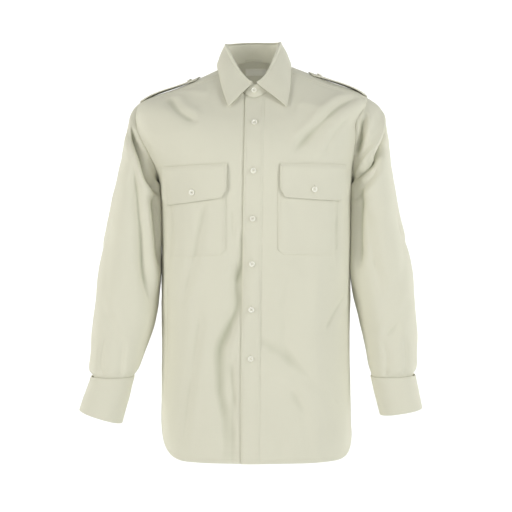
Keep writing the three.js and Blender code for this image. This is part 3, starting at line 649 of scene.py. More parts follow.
def frontGrid(side):
    low = lowParts()
    phis = np.linspace(0, yokeStart, 62)
    seamAngle, seamRing = armhole(side, float(yokeStart))
    high = np.linspace(seamRing, neckRing, 40)[1:]
    holeAngle, holeRing = armhole(side, phis)
    seam = mix(seamAngle, yokeNeck[0], (high - seamRing) / (neckRing - seamRing))
    edge = np.concatenate([np.full(len(low), float(sideSeam)), holeAngle, seam])
    zLow = mix(hemHeight(np.array(0.0)), bodyRings[armpitRing][0], low)
    ringFront = np.concatenate([ringAt(np.zeros(len(low)), zLow), holeRing, high])
    strip = np.array(frontStrips[sides[side]])
    stripAngle = angleOf(placketMiddle(ringFront)[:, None] + strip, ringFront[:, None])
    across = spaced(frontSettings["across"], panelStep, bandPlaces)[1:]
    sweep = mix(stripAngle[:, -1:], side * edge[:, None], across)
    angle = np.concatenate([stripAngle, sweep], 1)
    ring = np.repeat(ringFront[:, None], angle.shape[1], 1)
    z = mix(hemHeight(angle[: len(low)]), bodyRings[armpitRing][0], low[:, None])
    ring[: len(low)] = ringAt(angle[: len(low)], z)
    lift = np.zeros_like(ring)
    if side < 0:      # the right front lies under the left one
        lift[:, : len(strip)] = -1.65 * smooth(strip, -26, -19.5)
    lift[: len(low)] += bandLift(low * hemToArmpit["front"])[:, None]
    flatForm = bodyForm(angle, ring)
    fromSeam = toLast(flatForm)
    lift += bandLift(fromSeam) + 0.4 * ripple(flatForm, seamPucker) * np.exp(-fromSeam / 7)
    return bodyCloth(angle, ring, lift)


backSettings = {"thick": 1.1, "cut": (0.48, 0.74), "area": 0.33, "across": 384, "on": ["shoulder_rest"]}
yokeSettings = {"thick": 1.1, "cut": (0.66, 0.16), "area": 0.075, "down": 110, "on": ["shoulder_rest"]}


def backGrid():
    low = lowParts()
    columns = spaced(backSettings["across"], panelStep, bandPlaces)
    edge, top = armhole(1, np.linspace(360, yokeEnd, 66))
    cornerRing = armhole(1, float(yokeEnd))[1]
    out = np.abs(2 * columns - 1)
    angleLow = np.repeat(mix(sideSeam, 360 - sideSeam, columns)[None], len(low), 0)
    z = mix(hemHeight(angleLow), bodyRings[armpitRing][0], low[:, None])
    ringLow = ringAt(angleLow, z)
    middle = mix(armpitRing, yokeRing, (top - armpitRing) / (cornerRing - armpitRing))
    angleTop = mix(edge[:, None], 360 - edge[:, None], columns)
    ringTop = mix(middle[:, None], top[:, None], out)
    angle, ring = np.concatenate([angleLow, angleTop]), np.concatenate([ringLow, ringTop])
    flatForm = bodyForm(angle, ring)
    fromEdge = np.minimum(reach(flatForm, 1), toLast(flatForm))
    lift = 0.4 * ripple(flatForm, seamPucker) * np.exp(-fromEdge / 7)
    lift[: len(low)] += bandLift(low * hemToArmpit["back"])[:, None]
    lift[len(low):] += bandLift(fromEdge[len(low):])
    return bodyCloth(angle, ring, lift)


# Columns from the outer edge to the neck, from the left front seam round to the right one.
def yokeSpots():
    topPhi = np.linspace(yokeStart, yokeEnd, 24)[:-1]
    backAcross = np.linspace(0, 1, 97)
    corner, cornerRing = armhole(1, float(yokeEnd))
    left, leftRing = armhole(1, topPhi)
    right, rightRing = armhole(-1, topPhi[::-1])
    out = np.abs(2 * backAcross - 1)
    outerAngle = np.concatenate([left, mix(corner, 360 - corner, backAcross), 360 - right])
    outerRing = np.concatenate([leftRing, mix(yokeRing, cornerRing, out), rightRing])
    front = mix(*yokeNeck, (topPhi - yokeStart) / (yokeEnd - yokeStart))
    inner = np.concatenate([front, mix(yokeNeck[1], 360 - yokeNeck[1], backAcross), 360 - front[::-1]])
    return outerAngle, outerRing, inner


def yokeGrid():
    outerAngle, outerRing, inner = yokeSpots()
    part = spaced(yokeSettings["down"], panelStep, bandPlaces)
    angle = mix(outerAngle, inner, part[:, None])
    ring = mix(outerRing, neckRing, part[:, None])
    flatForm = bodyForm(angle, ring)
    fromOuter = reach(flatForm, 0)
    ends = np.minimum(reach(flatForm, 1), toLast(flatForm))
    lift = bandLift(np.minimum(fromOuter, ends), band["raised"] + 0.2)
    lift += 0.35 * ripple(flatForm, seamPucker) * np.exp(-fromOuter / 8)
    return bodyCloth(angle, ring, lift, 0.7)


for side, word in sides.items():
    clothPiece("front_" + word, frontGrid(side), frontSettings)
clothPiece("back", backGrid(), backSettings)
clothPiece("yoke", yokeGrid(), yokeSettings)
print("fronts, back and yoke made")


# Sleeves and cuffs

def section(rows, side, phi, grow=0.0):
    xo, zo, xi, zi, yc, hd, square = np.moveaxis(rows, -1, 0)
    c = signedPower(np.cos(np.radians(phi)), 2 / square)
    s = signedPower(np.sin(np.radians(phi)), 2 / square)
    half = np.hypot(xo - xi, zo - zi) / 2
    scale = (half + grow) / half
    return np.stack([
        side * ((xo + xi) / 2 - (xo - xi) / 2 * scale * c),
        yc - (hd + grow) * s,
        (zo + zi) / 2 - (zo - zi) / 2 * scale * c,
    ], -1)


seamPhi = np.arange(0, 361.0, 2.0)
seamPull = {}       # how far the armhole seam lies from the first sleeve station
for side, word in sides.items():
    angle, ring = armhole(side, seamPhi % 360)
    first = np.repeat(np.array(sleeveRows[word][:1], float), len(seamPhi), 0)
    seamPull[word] = bodyCloth(side * angle, ring, layerGap) - section(first, side, seamPhi)


def sleeveForm(side, phi, s):
    phi, s = np.broadcast_arrays(np.asarray(phi, float), np.asarray(s, float))
    pull = np.stack([np.interp(phi % 360, seamPhi, seamPull[sides[side]][:, k]) for k in range(3)], -1)
    rows = curveRow(sleeveRows[sides[side]], s)
    return section(rows, side, phi) + (1 - smooth(s, 0, 4.5))[..., None] * pull


def sleeveNormal(side, phi, s):
    shape = lambda u, v: sleeveForm(side, u, v)
    return -side * slopes(shape, np.asarray(phi, float), np.asarray(s, float), 1.0, 0.03)


sleeveLines = {}
for side, word in sides.items():
    phi, s = np.meshgrid(np.arange(0, 360, 4.0), np.arange(0.05, 12, 0.06))
    form, normals = sleeveForm(side, phi, s), sleeveNormal(side, phi, s)
    sleeveLines[word] = foldLines(sleeveFolds[word], form, normals, side)

sleeveSag = waves(13, 14, 80, (1, 1, 2.0))


def sleeveCloth(side, phi, s, lift=0.0):
    p, n = sleeveForm(side, phi, s), sleeveNormal(side, phi, s)
    calm = smooth(s, 0.1, 1.2) * (1 - 0.8 * smooth(s, 10, 11))
    relief = foldRelief(p, n, sleeveLines[sides[side]]) * smooth(s, 0, 0.8)
    relief = relief + calm * (1.1 * ripple(p, sleeveSag) + 0.3 * ripple(p, lightWrinkle))
    return p + n * (relief + lift)[..., None]


def sleeveGrid(side):
    phi = np.linspace(0, 360, 121)[:-1]
    s = np.concatenate([[0, 0.04, 0.1], np.linspace(0.2, 3, 34), np.linspace(3, 11, 116)[1:], [11.5, 12]])
    u, v = np.meshgrid(phi, s)
    lift = 0.5 * smooth(v, 0, 0.35) * (1 - smooth(v, 0.4, 1.4))      # the fullness eased into the cap
    lift += 1.2 * np.exp(-((v - 10.92) / 0.2) ** 2)                  # and into the cuff
    against = smooth(v, 1.6, 2.8) * (1 - smooth(v, 6.4, 7.3))        # where the arm hangs against the body
    turned = (u + 180) % 360 - 180
    lift += against * (0.6 * np.exp(-(turned / 28) ** 2) + 8.0 * np.exp(-((turned - 27) / 13) ** 2))
    return sleeveCloth(side, u, v, lift)


cuffSettings = {"thick": 2.0, "cut": (0.3, 0.08), "area": 0.0225, "overlap": 34, "opening": 235}
sleeveSettings = {"thick": 1.1, "cut": (0.42, 0.58), "area": 0.202, "held": "hung"}
stripSettings = {"thick": 1.3, "cut": (0.024, 0.08), "area": 0.0014}


def cuffPoint(side, part, height, lift=0.0):
    top, bottom = np.array(cuffRows[sides[side]], float)
    rows = mix(bottom, top, np.asarray(height, float)[..., None])
    grow = mix(-1.5, 1.5, smooth(part, 0.1, 0.9)) + lift
    return section(rows, side, cuffSettings["opening"] + (360 + cuffSettings["overlap"]) * part, grow)


def cuffGrid(side):
    part, height = np.meshgrid(*(spaced(length, 3.2, bandPlaces[:2]) for length in (272, 70)))
    soft = np.sin(math.pi * height) * np.sin(math.pi * part) ** 0.4
    p = cuffPoint(side, part, height)
    return cuffPoint(side, part, height, 0.5 * soft + 0.35 * ripple(p, lightWrinkle) * soft)


for side, word in sides.items():
    axis = np.mean(np.array(sleeveRows[word], float), 0)
    middle = (side * (axis[0] + axis[2]) / 2, axis[4], (axis[1] + axis[3]) / 2)
    wrist = np.mean(np.array(cuffRows[word], float), 0)
    wristMiddle = (side * (wrist[0] + wrist[2]) / 2, wrist[4], (wrist[1] + wrist[3]) / 2)
    u, v = np.meshgrid(np.linspace(225, 244, 8), np.linspace(8.4, 10.3, 22))
    strip = sleeveCloth(side, u, v, layerGap + stripSettings["thick"] + 0 * u)
    onFront, onSleeve = {"on": ["front_" + word]}, {"on": ["sleeve_" + word]}
    clothPiece("sleeve_" + word, sleeveGrid(side), {**sleeveSettings, **onFront}, middle, wrap=True)
    clothPiece("sleeve_placket_" + word, strip, {**stripSettings, **onSleeve}, middle)
    clothPiece("cuff_" + word, cuffGrid(side), {**cuffSettings, **onSleeve}, wristMiddle)
print("sleeves and cuffs made")


# Collar stand and leaf

collar = {"thick": 2.0, "cut": (0.5, 0.078), "area": 0.0255, "held": "folded", "on": ["collar_stand"]}
stand = {"thick": 2.0, "cut": (0.46, 0.052), "area": 0.0165, "on": ["yoke"]}
# The leaf's section over the top of the stand, out and up from the fold.
roll = [(3.4, -1), (3.3, 1.1), (2.2, 2.7), (0.6, 3.3), (-0.9, 3.1), (-1.9, 2.3)]
leafEdge = [      # lower edge of the leaf by the angle round the neck: x left, x right, y, z
    (4, 64, 51, -95.5, -87.5),
    (30, 70, 61, -83, -66),
    (55, 73, 69, -62, -42),
    (80, 76.5, 77.5, -31, -7),
    (110, 73, 75, 20, 3),
    (145, 46, 48, 68, 4),
    (180, 0, 0, 84, 3),
]


def foldPoint(angle):
    s, c = np.sin(np.radians(angle)), np.cos(np.radians(angle))
    zSide = 40.5 + 2 * s
    z = np.where(c >= 0, mix(-41.5, zSide, np.abs(s) ** 1.9), mix(45, zSide, s * s))
    return np.stack([54.6 * s - 3 * s * s, np.where(c >= 0, -70, -58) * c, z], -1)


def foldFrame(angle):
    along = unit(foldPoint(angle + 1) - foldPoint(angle - 1))
    s, c = np.sin(np.radians(angle)), np.cos(np.radians(angle))
    out = unit(np.stack([70 * s, -56 * c, 0 * s], -1))
    up = unit(np.cross(out, along))
    return out, up * np.where(up[..., 2:] > 0, 1, -1)


# The two ends are cut round.
def standHeight(angle):
    x = 68 * np.sin(np.radians(angle))
    start = np.minimum(1, mix(0.12, 0.48, smooth(x, -18, -12)) + 0.52 * smooth(x, -22, 12))
    end = np.maximum(0.15, 1 - 0.85 * smooth(x, -2, 18))
    return np.where(angle < 10, start, np.where(angle > 355, end, 1.0))


# How far the outer end of the stand lies out over its inner end.
def overInnerEnd(angle):
    return 1.4 * (1 - smooth(angle, 16, 40))


def standPoint(angle, height, lift=0.0):
    low = bodyForm(angle % 360, neckRing + 0 * angle)
    fold = foldPoint(angle)
    full = np.linalg.norm(low - fold, axis=-1)
    foot = (0.3 + 0.4 * (1 - smooth(np.abs(low[..., 0]), 18, 40)) * (low[..., 1] < 0)) / full
    p = mix(low, fold, mix(foot, 0.99, height * standHeight(angle))[..., None])
    layer = overInnerEnd(angle) - 1.4 * smooth(angle, 318, 344)
    return p + foldFrame(angle)[0] * (lift + layer)[..., None]


# Fall is 1 at the outer edge and 0 at the top, and below 0 over the roll.
def leafPoint(angle, fall, lift=0.0):
    a = np.where(angle > 180, 360 - angle, angle)
    out, up = foldFrame(angle)
    fold = foldPoint(angle)
    known = [row[0] for row in leafEdge]
    place = np.interp(a, known, np.arange(len(known)))
    xL, xR, y, z = np.moveaxis(curveRow([row[1:] for row in leafEdge], place), -1, 0)
    edge = np.stack([np.where(angle > 180, -xR, xL), y, z], -1)
    start = fold + (3.4 + overInnerEnd(angle))[..., None] * out - up
    down = np.clip(fall, 0, 1)[..., None]
    hanging = mix(start, edge, down) + out * (1.6 * np.sin(math.pi * down) - 2 * down ** 2)
    turn = curveRow(roll, np.clip(-fall, 0, 1) * (len(roll) - 1))
    rolled = fold + out * (turn[..., :1] + overInnerEnd(angle)[..., None]) + up * turn[..., 1:]
    return np.where((fall >= 0)[..., None], hanging, rolled) + out * np.asarray(lift)[..., None]


leafSwell = waves(21, 10, 46)


def leafGrid():
    angles = np.concatenate([[5, 6, 7.5, 9], np.linspace(11, 349, 150), [351, 352.5, 354, 355]])
    falls = np.concatenate([1 - spaced(55, 3.0, bandEdge)[:-1], [0], -np.linspace(0, 1, 12)[1:]])
    angle, fall = np.meshgrid(angles, falls)
    swell = 0.45 * ripple(leafPoint(angle, fall), leafSwell)
    return leafPoint(angle, fall, swell * smooth(fall, 0.02, 0.3))


def standGrid():
    angles = np.concatenate([np.linspace(-15, 11, 14), np.linspace(14, 346, 130), np.linspace(349, 373, 14)])
    angle, height = np.meshgrid(angles, spaced(38, 3.0, bandEdge))
    return standPoint(angle, height, 0.2 * ripple(standPoint(angle, height), leafSwell))


clothPiece("collar", leafGrid(), collar, (0, 0, -20))
clothPiece("collar_stand", standGrid(), stand, (0, 0, -10))
print("collar made")


# Placket, pockets, flaps, straps and label

placket = {"thick": 1.1, "cut": (0.039, 0.74), "area": 0.0282, "half": 19, "top": -73.5, "step": 3.7,
           "on": ["front_left"]}


def placketGrid():
    bottom, armpit = hem["front"], bodyRings[armpitRing][0]
    even = np.arange(bottom + 14, placket["top"] - 0.5, placket["step"])
    z = np.concatenate([bottom + np.array([0, *bandPlaces]), even, [placket["top"]]])
    ring = solveRing(lambda t: bodyForm(np.zeros_like(t), t)[..., 2], z, neckRing)
    half = np.array([0, 0.25, 0.5, 0.72, 0.86, 0.95, 1])
    share = np.concatenate([-half[:0:-1], half])
    angle = angleOf(placketMiddle(ring)[:, None] + placket["half"] * share, ring[:, None])
    rings = np.repeat(ring[:, None], len(share), 1)
    low = z < armpit
    rise = ((z[low] - bottom) / (armpit - bottom))[:, None]
    rings[low] = ringAt(angle[low], mix(hemHeight(angle[low]), armpit, rise))
    fromEdge = placket["half"] * (1 - np.abs(share))
    pucker = 0.35 * ripple(bodyForm(angle, rings), seamPucker) * np.exp(-fromEdge / 5)
    return bodyCloth(angle, rings, 0.7 + pucker + 0.9 * smooth(fromEdge, 0, 4), 0.8)


clothPiece("placket", placketGrid(), placket)

pocketPlaces = {      # x of the inner and outer edges, and how far the outer one hangs lower
    "left": {"pocket": (45, 166), "flap": (50, 181), "slope": 3},
    "right": {"pocket": (-56, -166), "flap": (-54, -183), "slope": 8},
}
pocket = {"thick": 0.95, "cut": (0.127, 0.166), "area": 0.0204, "bottom": -379, "top": -216,
          "corner": (0.1, 11), "wide": 121, "rows": (160, 3.2)}
flap = {"thick": 1.8, "cut": (0.148, 0.074), "area": 0.0105, "bottom": -265, "top": -199,
        "corner": (0.08, 15), "wide": 131, "rows": (64, 3.0)}


# A patch on the front with cut lower corners; its bottom and top fall towards its outer end.
def patchGrid(patch, x, bottomFall, topFall, lift):
    share, cutAway = patch["corner"]
    across = np.unique(np.concatenate([spaced(patch["wide"], 3.0, patchPlaces), [share, 1 - share]]))
    part, v = np.meshgrid(across, spaced(*patch["rows"], patchPlaces))
    bottom = patch["bottom"] - bottomFall * part
    bottom = bottom + cutAway * np.maximum(0, 1 - np.minimum(part, 1 - part) / share)
    angle, ring = spot(mix(*x, part), mix(bottom, patch["top"] - topFall * part, v))
    return bodyCloth(angle, ring, lift(part, v), 0.9)


def pocketLift(part, v):
    bow = np.sin(math.pi * part) ** 0.7 * np.sin(math.pi * v) ** 0.7
    return 0.1 + pocket["thick"] + 0.6 * bow


def flapLift(part, v):
    raised = mix(1.5, 0.2, smooth(v, 0.2, 1))
    edge = np.minimum(part, 1 - part)
    bow = 0.6 * np.sin(math.pi * part) * (1 - v) + 0.3 * smooth(edge, 0, 0.05)
    return flap["thick"] + 1.75 + raised + bow - 1.8 * smooth(v, 0.88, 1) - 0.7 * smooth(part, 0.8, 1)


for word, place in pocketPlaces.items():
    slope = place["slope"]
    bag = patchGrid(pocket, place["pocket"], slope, slope, pocketLift)
    clothPiece("pocket_" + word, bag, {**pocket, "on": ["front_" + word]})
    cover = patchGrid(flap, place["flap"], 4 + 2 * slope, slope, flapLift)
    clothPiece("pocket_flap_" + word, cover, {**flap, "on": ["pocket_" + word]})

strap = {"thick": 2.0, "cut": (0.054, 0.126), "area": 0.0063, "half": 26, "on": ["yoke"],
         "outer": {"left": 226, "right": 228}, "inner": 112, "seam": 229, "neck": 68, "seamRing": 8}


# Angle and ring on the shoulder for a distance across the strap and an x along it.
def strapSpot(side, across, x):
    ring = mix(strap["seamRing"], neckRing, (strap["seam"] - x) / (strap["seam"] - strap["neck"]))
    r = curveRow(bodyRings, ring)
    depth = np.abs(np.where(across < 0, r[..., 4], r[..., 5]))
    quarter = np.degrees(np.arccos(np.minimum(1, (np.abs(across) / depth) ** (r[..., 8] / 2))))
    return side * np.where(across < 0, quarter, 180 - quarter), ring


def strapGrid(side):
    w = np.array([-1, -0.96, -0.9, *np.linspace(-0.82, 0.82, 15), 0.9, 0.96, 1])
    part, w = np.meshgrid(spaced(112, 3.0, bandEdge), w, indexing="ij")
    outer = strap["outer"][sides[side]] - 8 * w * w
    inner = strap["inner"] + 10 * np.abs(w) ** 1.5
    angle, ring = strapSpot(side, strap["half"] * mix(1, 0.86, part) * w, mix(outer, inner, part))
    hump = np.sin(math.pi * part) * (1.3 + np.where(w < 0, 3.4 * np.abs(w), 0.4 * w))
    return bodyCloth(angle, ring, overlayGap + 0.2 + hump + 2.2, 0.5)


for side, word in sides.items():
    clothPiece("shoulder_strap_" + word, strapGrid(side), strap, (0, 0, -300))

labelTape = {"thick": 0.7, "cut": (0.041, 0.022), "area": 0.0009, "margin": 0.5, "on": ["yoke"]}
hangerTape = {"thick": 0.8, "cut": (0.038, 0.01), "area": 0.00017, "on": ["collar_stand"]}


def labelGrid():
    low, high = (np.array(v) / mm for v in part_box("label"))
    low, high = low + labelTape["margin"], high - labelTape["margin"]
    x, z = np.meshgrid(np.linspace(low[0], high[0], 15), np.linspace(low[2], high[2], 9))
    back = lambda t: 180 - angleOf(x, t)
    ring = solveRing(lambda t: bodyForm(back(t), t)[..., 2], z, neckRing)
    return bodyCloth(back(ring), ring, -1.1 - layerGap - 0.3 + 0 * x, 0.7)


def hangerGrid():
    angle, height = np.meshgrid(np.linspace(162.5, 197.5, 15), np.linspace(0.03, 0.13, 4))
    return standPoint(angle, height, -2.5 + 0 * angle)


clothPiece("label", labelGrid(), labelTape, (0, 400, -30), material=labelMaterial)
clothPiece("hanger_tape", hangerGrid(), hangerTape, (0, 400, 10))
print("placket, pockets, straps, label and tape made")


# Buttons

button = {"radius": 5.7, "height": 2.6, "hole": 0.92, "spread": 1.35, "strand": 0.3, "foot": 0.62,
          "sides": 44}
buttonProfile = [      # share of the radius and of the height, from the middle of the back to the dish
    (0, 0.04), (0.6, 0), (0.8, 0.05), (0.93, 0.2), (1, 0.45), (0.995, 0.68), (0.95, 0.88), (0.87, 0.99),
    (0.78, 1), (0.7, 0.92), (0.63, 0.72), (0.56, 0.52), (0.46, 0.44), (0, 0.4),
]
everyColumn = slice(None)


# Points of a surface nearest to some points in space, and its normals there.
def onCloth(name, points, columns=everyColumn, blur=2.6):
    grid, normals = surfaces[name]
    flat, out = grid[:, columns].reshape(-1, 3), normals[:, columns].reshape(-1, 3)
    points = np.atleast_2d(np.asarray(points, float))
    away = ((points[:, None] - flat[None]) ** 2).sum(-1)
    weight = np.exp(-(away - away.min(1, keepdims=True)) / (2 * blur * blur))
    weight = weight / weight.sum(1, keepdims=True)
    middle, normal = weight @ flat, unit(weight @ out)
    return points - normal * ((points - middle) * normal).sum(-1, keepdims=True), normal


# A shape turned round the z axis, from a profile that starts and ends on it.
def latheMesh(name, profile, count):
    turn = np.arange(count) * 2 * math.pi / count
    rings = [np.stack([r * np.cos(turn), r * np.sin(turn), h + 0 * turn], -1) for r, h in profile[1:-1]]
    vertices = np.concatenate([*rings, [[0, 0, profile[0][1]], [0, 0, profile[-1][1]]]])
    last = (len(rings) - 1) * count
    faces = []
    for i in range(count):
        k = (i + 1) % count
        faces.append((len(vertices) - 2, k, i))
        for low in range(0, last, count):
            faces.append((low + i, low + k, low + count + k, low + count + i))
        faces.append((last + i, last + k, len(vertices) - 1))
    mesh = bpy.data.meshes.new(name)
    mesh.from_pydata(vertices.tolist(), [], faces)
    mesh.update()
    return mesh


# Points and faces of a thread along a line.
def threadTube(line, radius, count=6):
    line = np.asarray(line, float)
    way = unit(np.gradient(line, axis=0))
    side = unit(np.cross(way, [0.13, 0.21, 1.0]))
    other = np.cross(way, side)
    turn = np.arange(count)[:, None] * 2 * math.pi / count
    rings = line[:, None] + radius * (side[:, None] * np.cos(turn) + other[:, None] * np.sin(turn))
    last = (len(line) - 1) * count
    faces = []
    for low in range(0, last, count):
        for i in range(count):
            k = (i + 1) % count
            faces.append((low + i, low + count + i, low + count + k, low + k))
    faces += [tuple(range(count)), tuple(range(last + count - 1, last - 1, -1))]
    return rings.reshape(-1, 3), faces


# One button with four real holes, cut once and then used for all of them.
def makeButtonMesh():
    profile = [(r * button["radius"], h * button["height"]) for r, h in buttonProfile]
    blank = bpy.data.objects.new("button blank", latheMesh("button blank", profile, button["sides"]))
    drillProfile = [(0, -2), (button["hole"], -2), (button["hole"], 4), (0, 4)]
    drill = bpy.data.objects.new("drill", latheMesh("drill", drillProfile, 14))
    for thing in (blank, drill):
        bpy.context.scene.collection.objects.link(thing)
    for x in (-1, 1):
        for y in (-1, 1):
            drill.location = (x * button["spread"], y * button["spread"], 0)
            hole = blank.modifiers.new("hole", "BOOLEAN")
            hole.operation, hole.object, hole.solver = "DIFFERENCE", drill, "EXACT"
            plainMesh(blank)
    mesh = blank.data
    bpy.data.objects.remove(blank)
    bpy.data.meshes.remove(drill.data)
    return mesh


# The crossed threads over the dish and the shank below the button.
def buttonThreads():
    spread, top = button["spread"], button["height"] * 0.44
    parts = []
    for sign in (1, -1):
        for offset in (-1, 0, 1):
            shift = offset * button["strand"] * 1.7
            t = np.linspace(-1, 1, 9)
            height = top + 0.42 * np.sqrt(np.maximum(0, 1 - t ** 4)) + (0.3 if sign < 0 else 0) * (1 - t ** 2)
            cross = t * spread * 1.04
            line = np.stack([cross + shift * 0.7, sign * (cross - shift * 0.7), height], -1)
            line = np.concatenate([[line[0] - (0, 0, 1.7)], line, [line[-1] - (0, 0, 1.7)]])
            parts.append(threadTube(line, button["strand"]))
    shank = [(0, 0, -0.75), (0, 0, -0.3), (0, 0, 0.25)]
    parts.append(threadTube(shank, 1.5, 10))
    return parts


def axesAt(normal, turn):
    up = np.array([0, 0, 1.0]) if abs(normal[2]) < 0.8 else np.array([1.0, 0, 0])
    side = unit(np.cross(up, normal))
    up = np.cross(normal, side)
    a = math.radians(turn)
    return np.stack([side * math.cos(a) + up * math.sin(a), up * math.cos(a) - side * math.sin(a), normal], 0)


# Name: the surface below it, its columns where the cloth lies double, size, turn and buttonhole,
# which runs "up" and down or "along" the band or strap.
buttonPlaces = {f"button_front_{i + 1}": ("placket", everyColumn, 1, turn, "up")
                for i, turn in enumerate((4, -17, 9, 31, -6, 14))}
buttonPlaces["button_stand"] = ("collar_stand", slice(0, 22), 0.92, 12, "along")
for word, turn in (("left", 22), ("right", -9)):
    buttonPlaces["button_flap_" + word] = ("pocket_flap_" + word, everyColumn, 1, turn, "up")
    buttonPlaces["button_strap_" + word] = ("shoulder_strap_" + word, everyColumn, 1, turn + 20, "along")
    buttonPlaces["button_cuff_" + word] = ("cuff_" + word, slice(-24, None), 1, turn - 30, "along")

buttonMesh = makeButtonMesh()
shape = np.array([vertex.co for vertex in buttonMesh.vertices])
threadPoints, threadFaces = [], []
buttonholes = []
for name, (below, columns, size, turn, way) in buttonPlaces.items():
    cad = np.mean(np.array(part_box(name)) / mm, 0)
    (place,), (normal,) = onCloth(below, cad, columns, 3.4)
    axes = axesAt(normal, turn)
    mesh = buttonMesh.copy()
    mesh.name = name + "_detail"
    foot = place + normal * button["foot"]
    mesh.vertices.foreach_set("co", ((shape * (size, size, 1)) @ axes + foot).reshape(-1) * mm)
    mesh.polygons.foreach_set("use_smooth", [True] * len(mesh.polygons))
    mesh.set_sharp_from_angle(angle=math.radians(50))
    piece = newPiece(name + "_detail", mesh, resinMaterial)
    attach(piece, "root")
    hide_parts(name)
    for points, faces in buttonThreads():
        start = sum(len(p) for p in threadPoints)
        threadPoints.append((points * (size, size, 1)) @ axes + foot)
        threadFaces += [tuple(start + k for k in face) for face in faces]
    across, up, _ = axesAt(normal, 0)
    buttonholes.append((below, columns, place, *((up, across) if way == "up" else (across, up))))
bpy.data.meshes.remove(buttonMesh)
threads = bpy.data.meshes.new("button_threads")
threads.from_pydata((np.concatenate(threadPoints) * mm).tolist(), [], threadFaces)
threads.polygons.foreach_set("use_smooth", [True] * len(threads.polygons))
piece = newPiece("button_threads", threads, threadMaterial)
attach(piece, "root")
print("buttons made")


# Sewing: rows of stitches along lines on the cloth, by Geometry Nodes

def makeStitchTree():
    tree = bpy.data.node_groups.new("rows of stitches", "GeometryNodeTree")
    tree.interface.new_socket("Rows", in_out="INPUT", socket_type="NodeSocketGeometry")
    for name, kind in (("Pitch", "Float"), ("Length", "Float"), ("Radius", "Float"), ("Thread", "Material")):
        tree.interface.new_socket(name, in_out="INPUT", socket_type="NodeSocket" + kind)
    tree.interface.new_socket("Stitches", in_out="OUTPUT", socket_type="NodeSocketGeometry")
    given = addNode(tree, "NodeGroupInput").outputs
    curve = addNode(tree, "GeometryNodeMeshToCurve", given["Rows"])
    even = addNode(tree, "GeometryNodeResampleCurve", mode="LENGTH")
    tree.links.new(curve.outputs[0], even.inputs["Curve"])
    tree.links.new(given["Pitch"], even.inputs["Length"])
    turned = None
    for name, axis, pivot in (("way", "X", "AUTO"), ("facing", "Z", "X")):
        vector = addNode(tree, "GeometryNodeInputNamedAttribute", name, data_type="FLOAT_VECTOR")
        align = addNode(tree, "FunctionNodeAlignRotationToVector", axis=axis, pivot_axis=pivot)
        tree.links.new(vector.outputs[0], align.inputs["Vector"])
        if turned:
            tree.links.new(turned, align.inputs["Rotation"])
        turned = align.outputs[0]
    wobble = addNode(tree, "FunctionNodeRandomValue", data_type="FLOAT_VECTOR", Seed=4,
                     Min=(-0.05, -0.04, -0.07), Max=(0.05, 0.04, 0.07))
    uneven = addNode(tree, "FunctionNodeRotateRotation", turned, wobble.outputs[0], rotation_space="LOCAL")
    ball = addNode(tree, "GeometryNodeMeshUVSphere", Segments=6, Rings=4, Radius=1.0)
    half = worked(tree, "MULTIPLY", given["Length"], 0.5)
    size = addNode(tree, "ShaderNodeCombineXYZ", half, given["Radius"], given["Radius"])
    stretched = addNode(tree, "GeometryNodeTransform")
    placed = addNode(tree, "GeometryNodeInstanceOnPoints")
    for source, socket in ((ball.outputs["Mesh"], stretched.inputs["Geometry"]),
                           (size.outputs[0], stretched.inputs["Scale"]),
                           (even.outputs[0], placed.inputs["Points"]),
                           (stretched.outputs[0], placed.inputs["Instance"]),
                           (uneven.outputs[0], placed.inputs["Rotation"])):
        tree.links.new(source, socket)
    real = addNode(tree, "GeometryNodeRealizeInstances", placed.outputs[0])
    soft = addNode(tree, "GeometryNodeSetShadeSmooth", real.outputs[0])
    colour = addNode(tree, "GeometryNodeSetMaterial", soft.outputs[0])
    tree.links.new(given["Thread"], colour.inputs["Material"])
    addNode(tree, "NodeGroupOutput", colour.outputs[0])
    return tree


stitchTree = makeStitchTree()
topstitch = {"Pitch": 2.9, "Length": 2.35, "Radius": 0.33}
holeStitch = {"Pitch": 0.62, "Length": 1.5, "Radius": 0.33}


# One mesh of stitches along rows of (points, normals, way of the stitches or None for along).
def sew(name, rows, sizes):
    points, facing, ways, edges, start = [], [], [], [], 0
    for line, normals, way in rows:
        points.append(line + normals * 0.08)
        facing.append(normals)
        ways.append(unit(np.gradient(line, axis=0)) if way is None else np.broadcast_to(way, line.shape))
        edges += [(start + k, start + k + 1) for k in range(len(line) - 1)]
        start += len(line)
    mesh = bpy.data.meshes.new(name)
    mesh.from_pydata((np.concatenate(points) * mm).tolist(), edges, [])
    for key, values in (("facing", facing), ("way", ways)):
        layer = mesh.attributes.new(key, "FLOAT_VECTOR", "POINT")
        layer.data.foreach_set("vector", np.concatenate(values).astype(np.float32).reshape(-1))
    piece = newPiece(name, mesh, threadMaterial)
    nodes = piece.modifiers.new("stitches", "NODES")
    nodes.node_group = stitchTree
    for item in stitchTree.interface.items_tree:
        if item.in_out == "INPUT" and item.name in sizes:
            nodes[item.identifier] = sizes[item.name] * mm
        elif item.in_out == "INPUT" and item.name == "Thread":
            nodes[item.identifier] = threadMaterial
    plainMesh(piece)
    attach(piece, "root")
    print(f"sewing {name}: {len(piece.data.polygons)} faces")


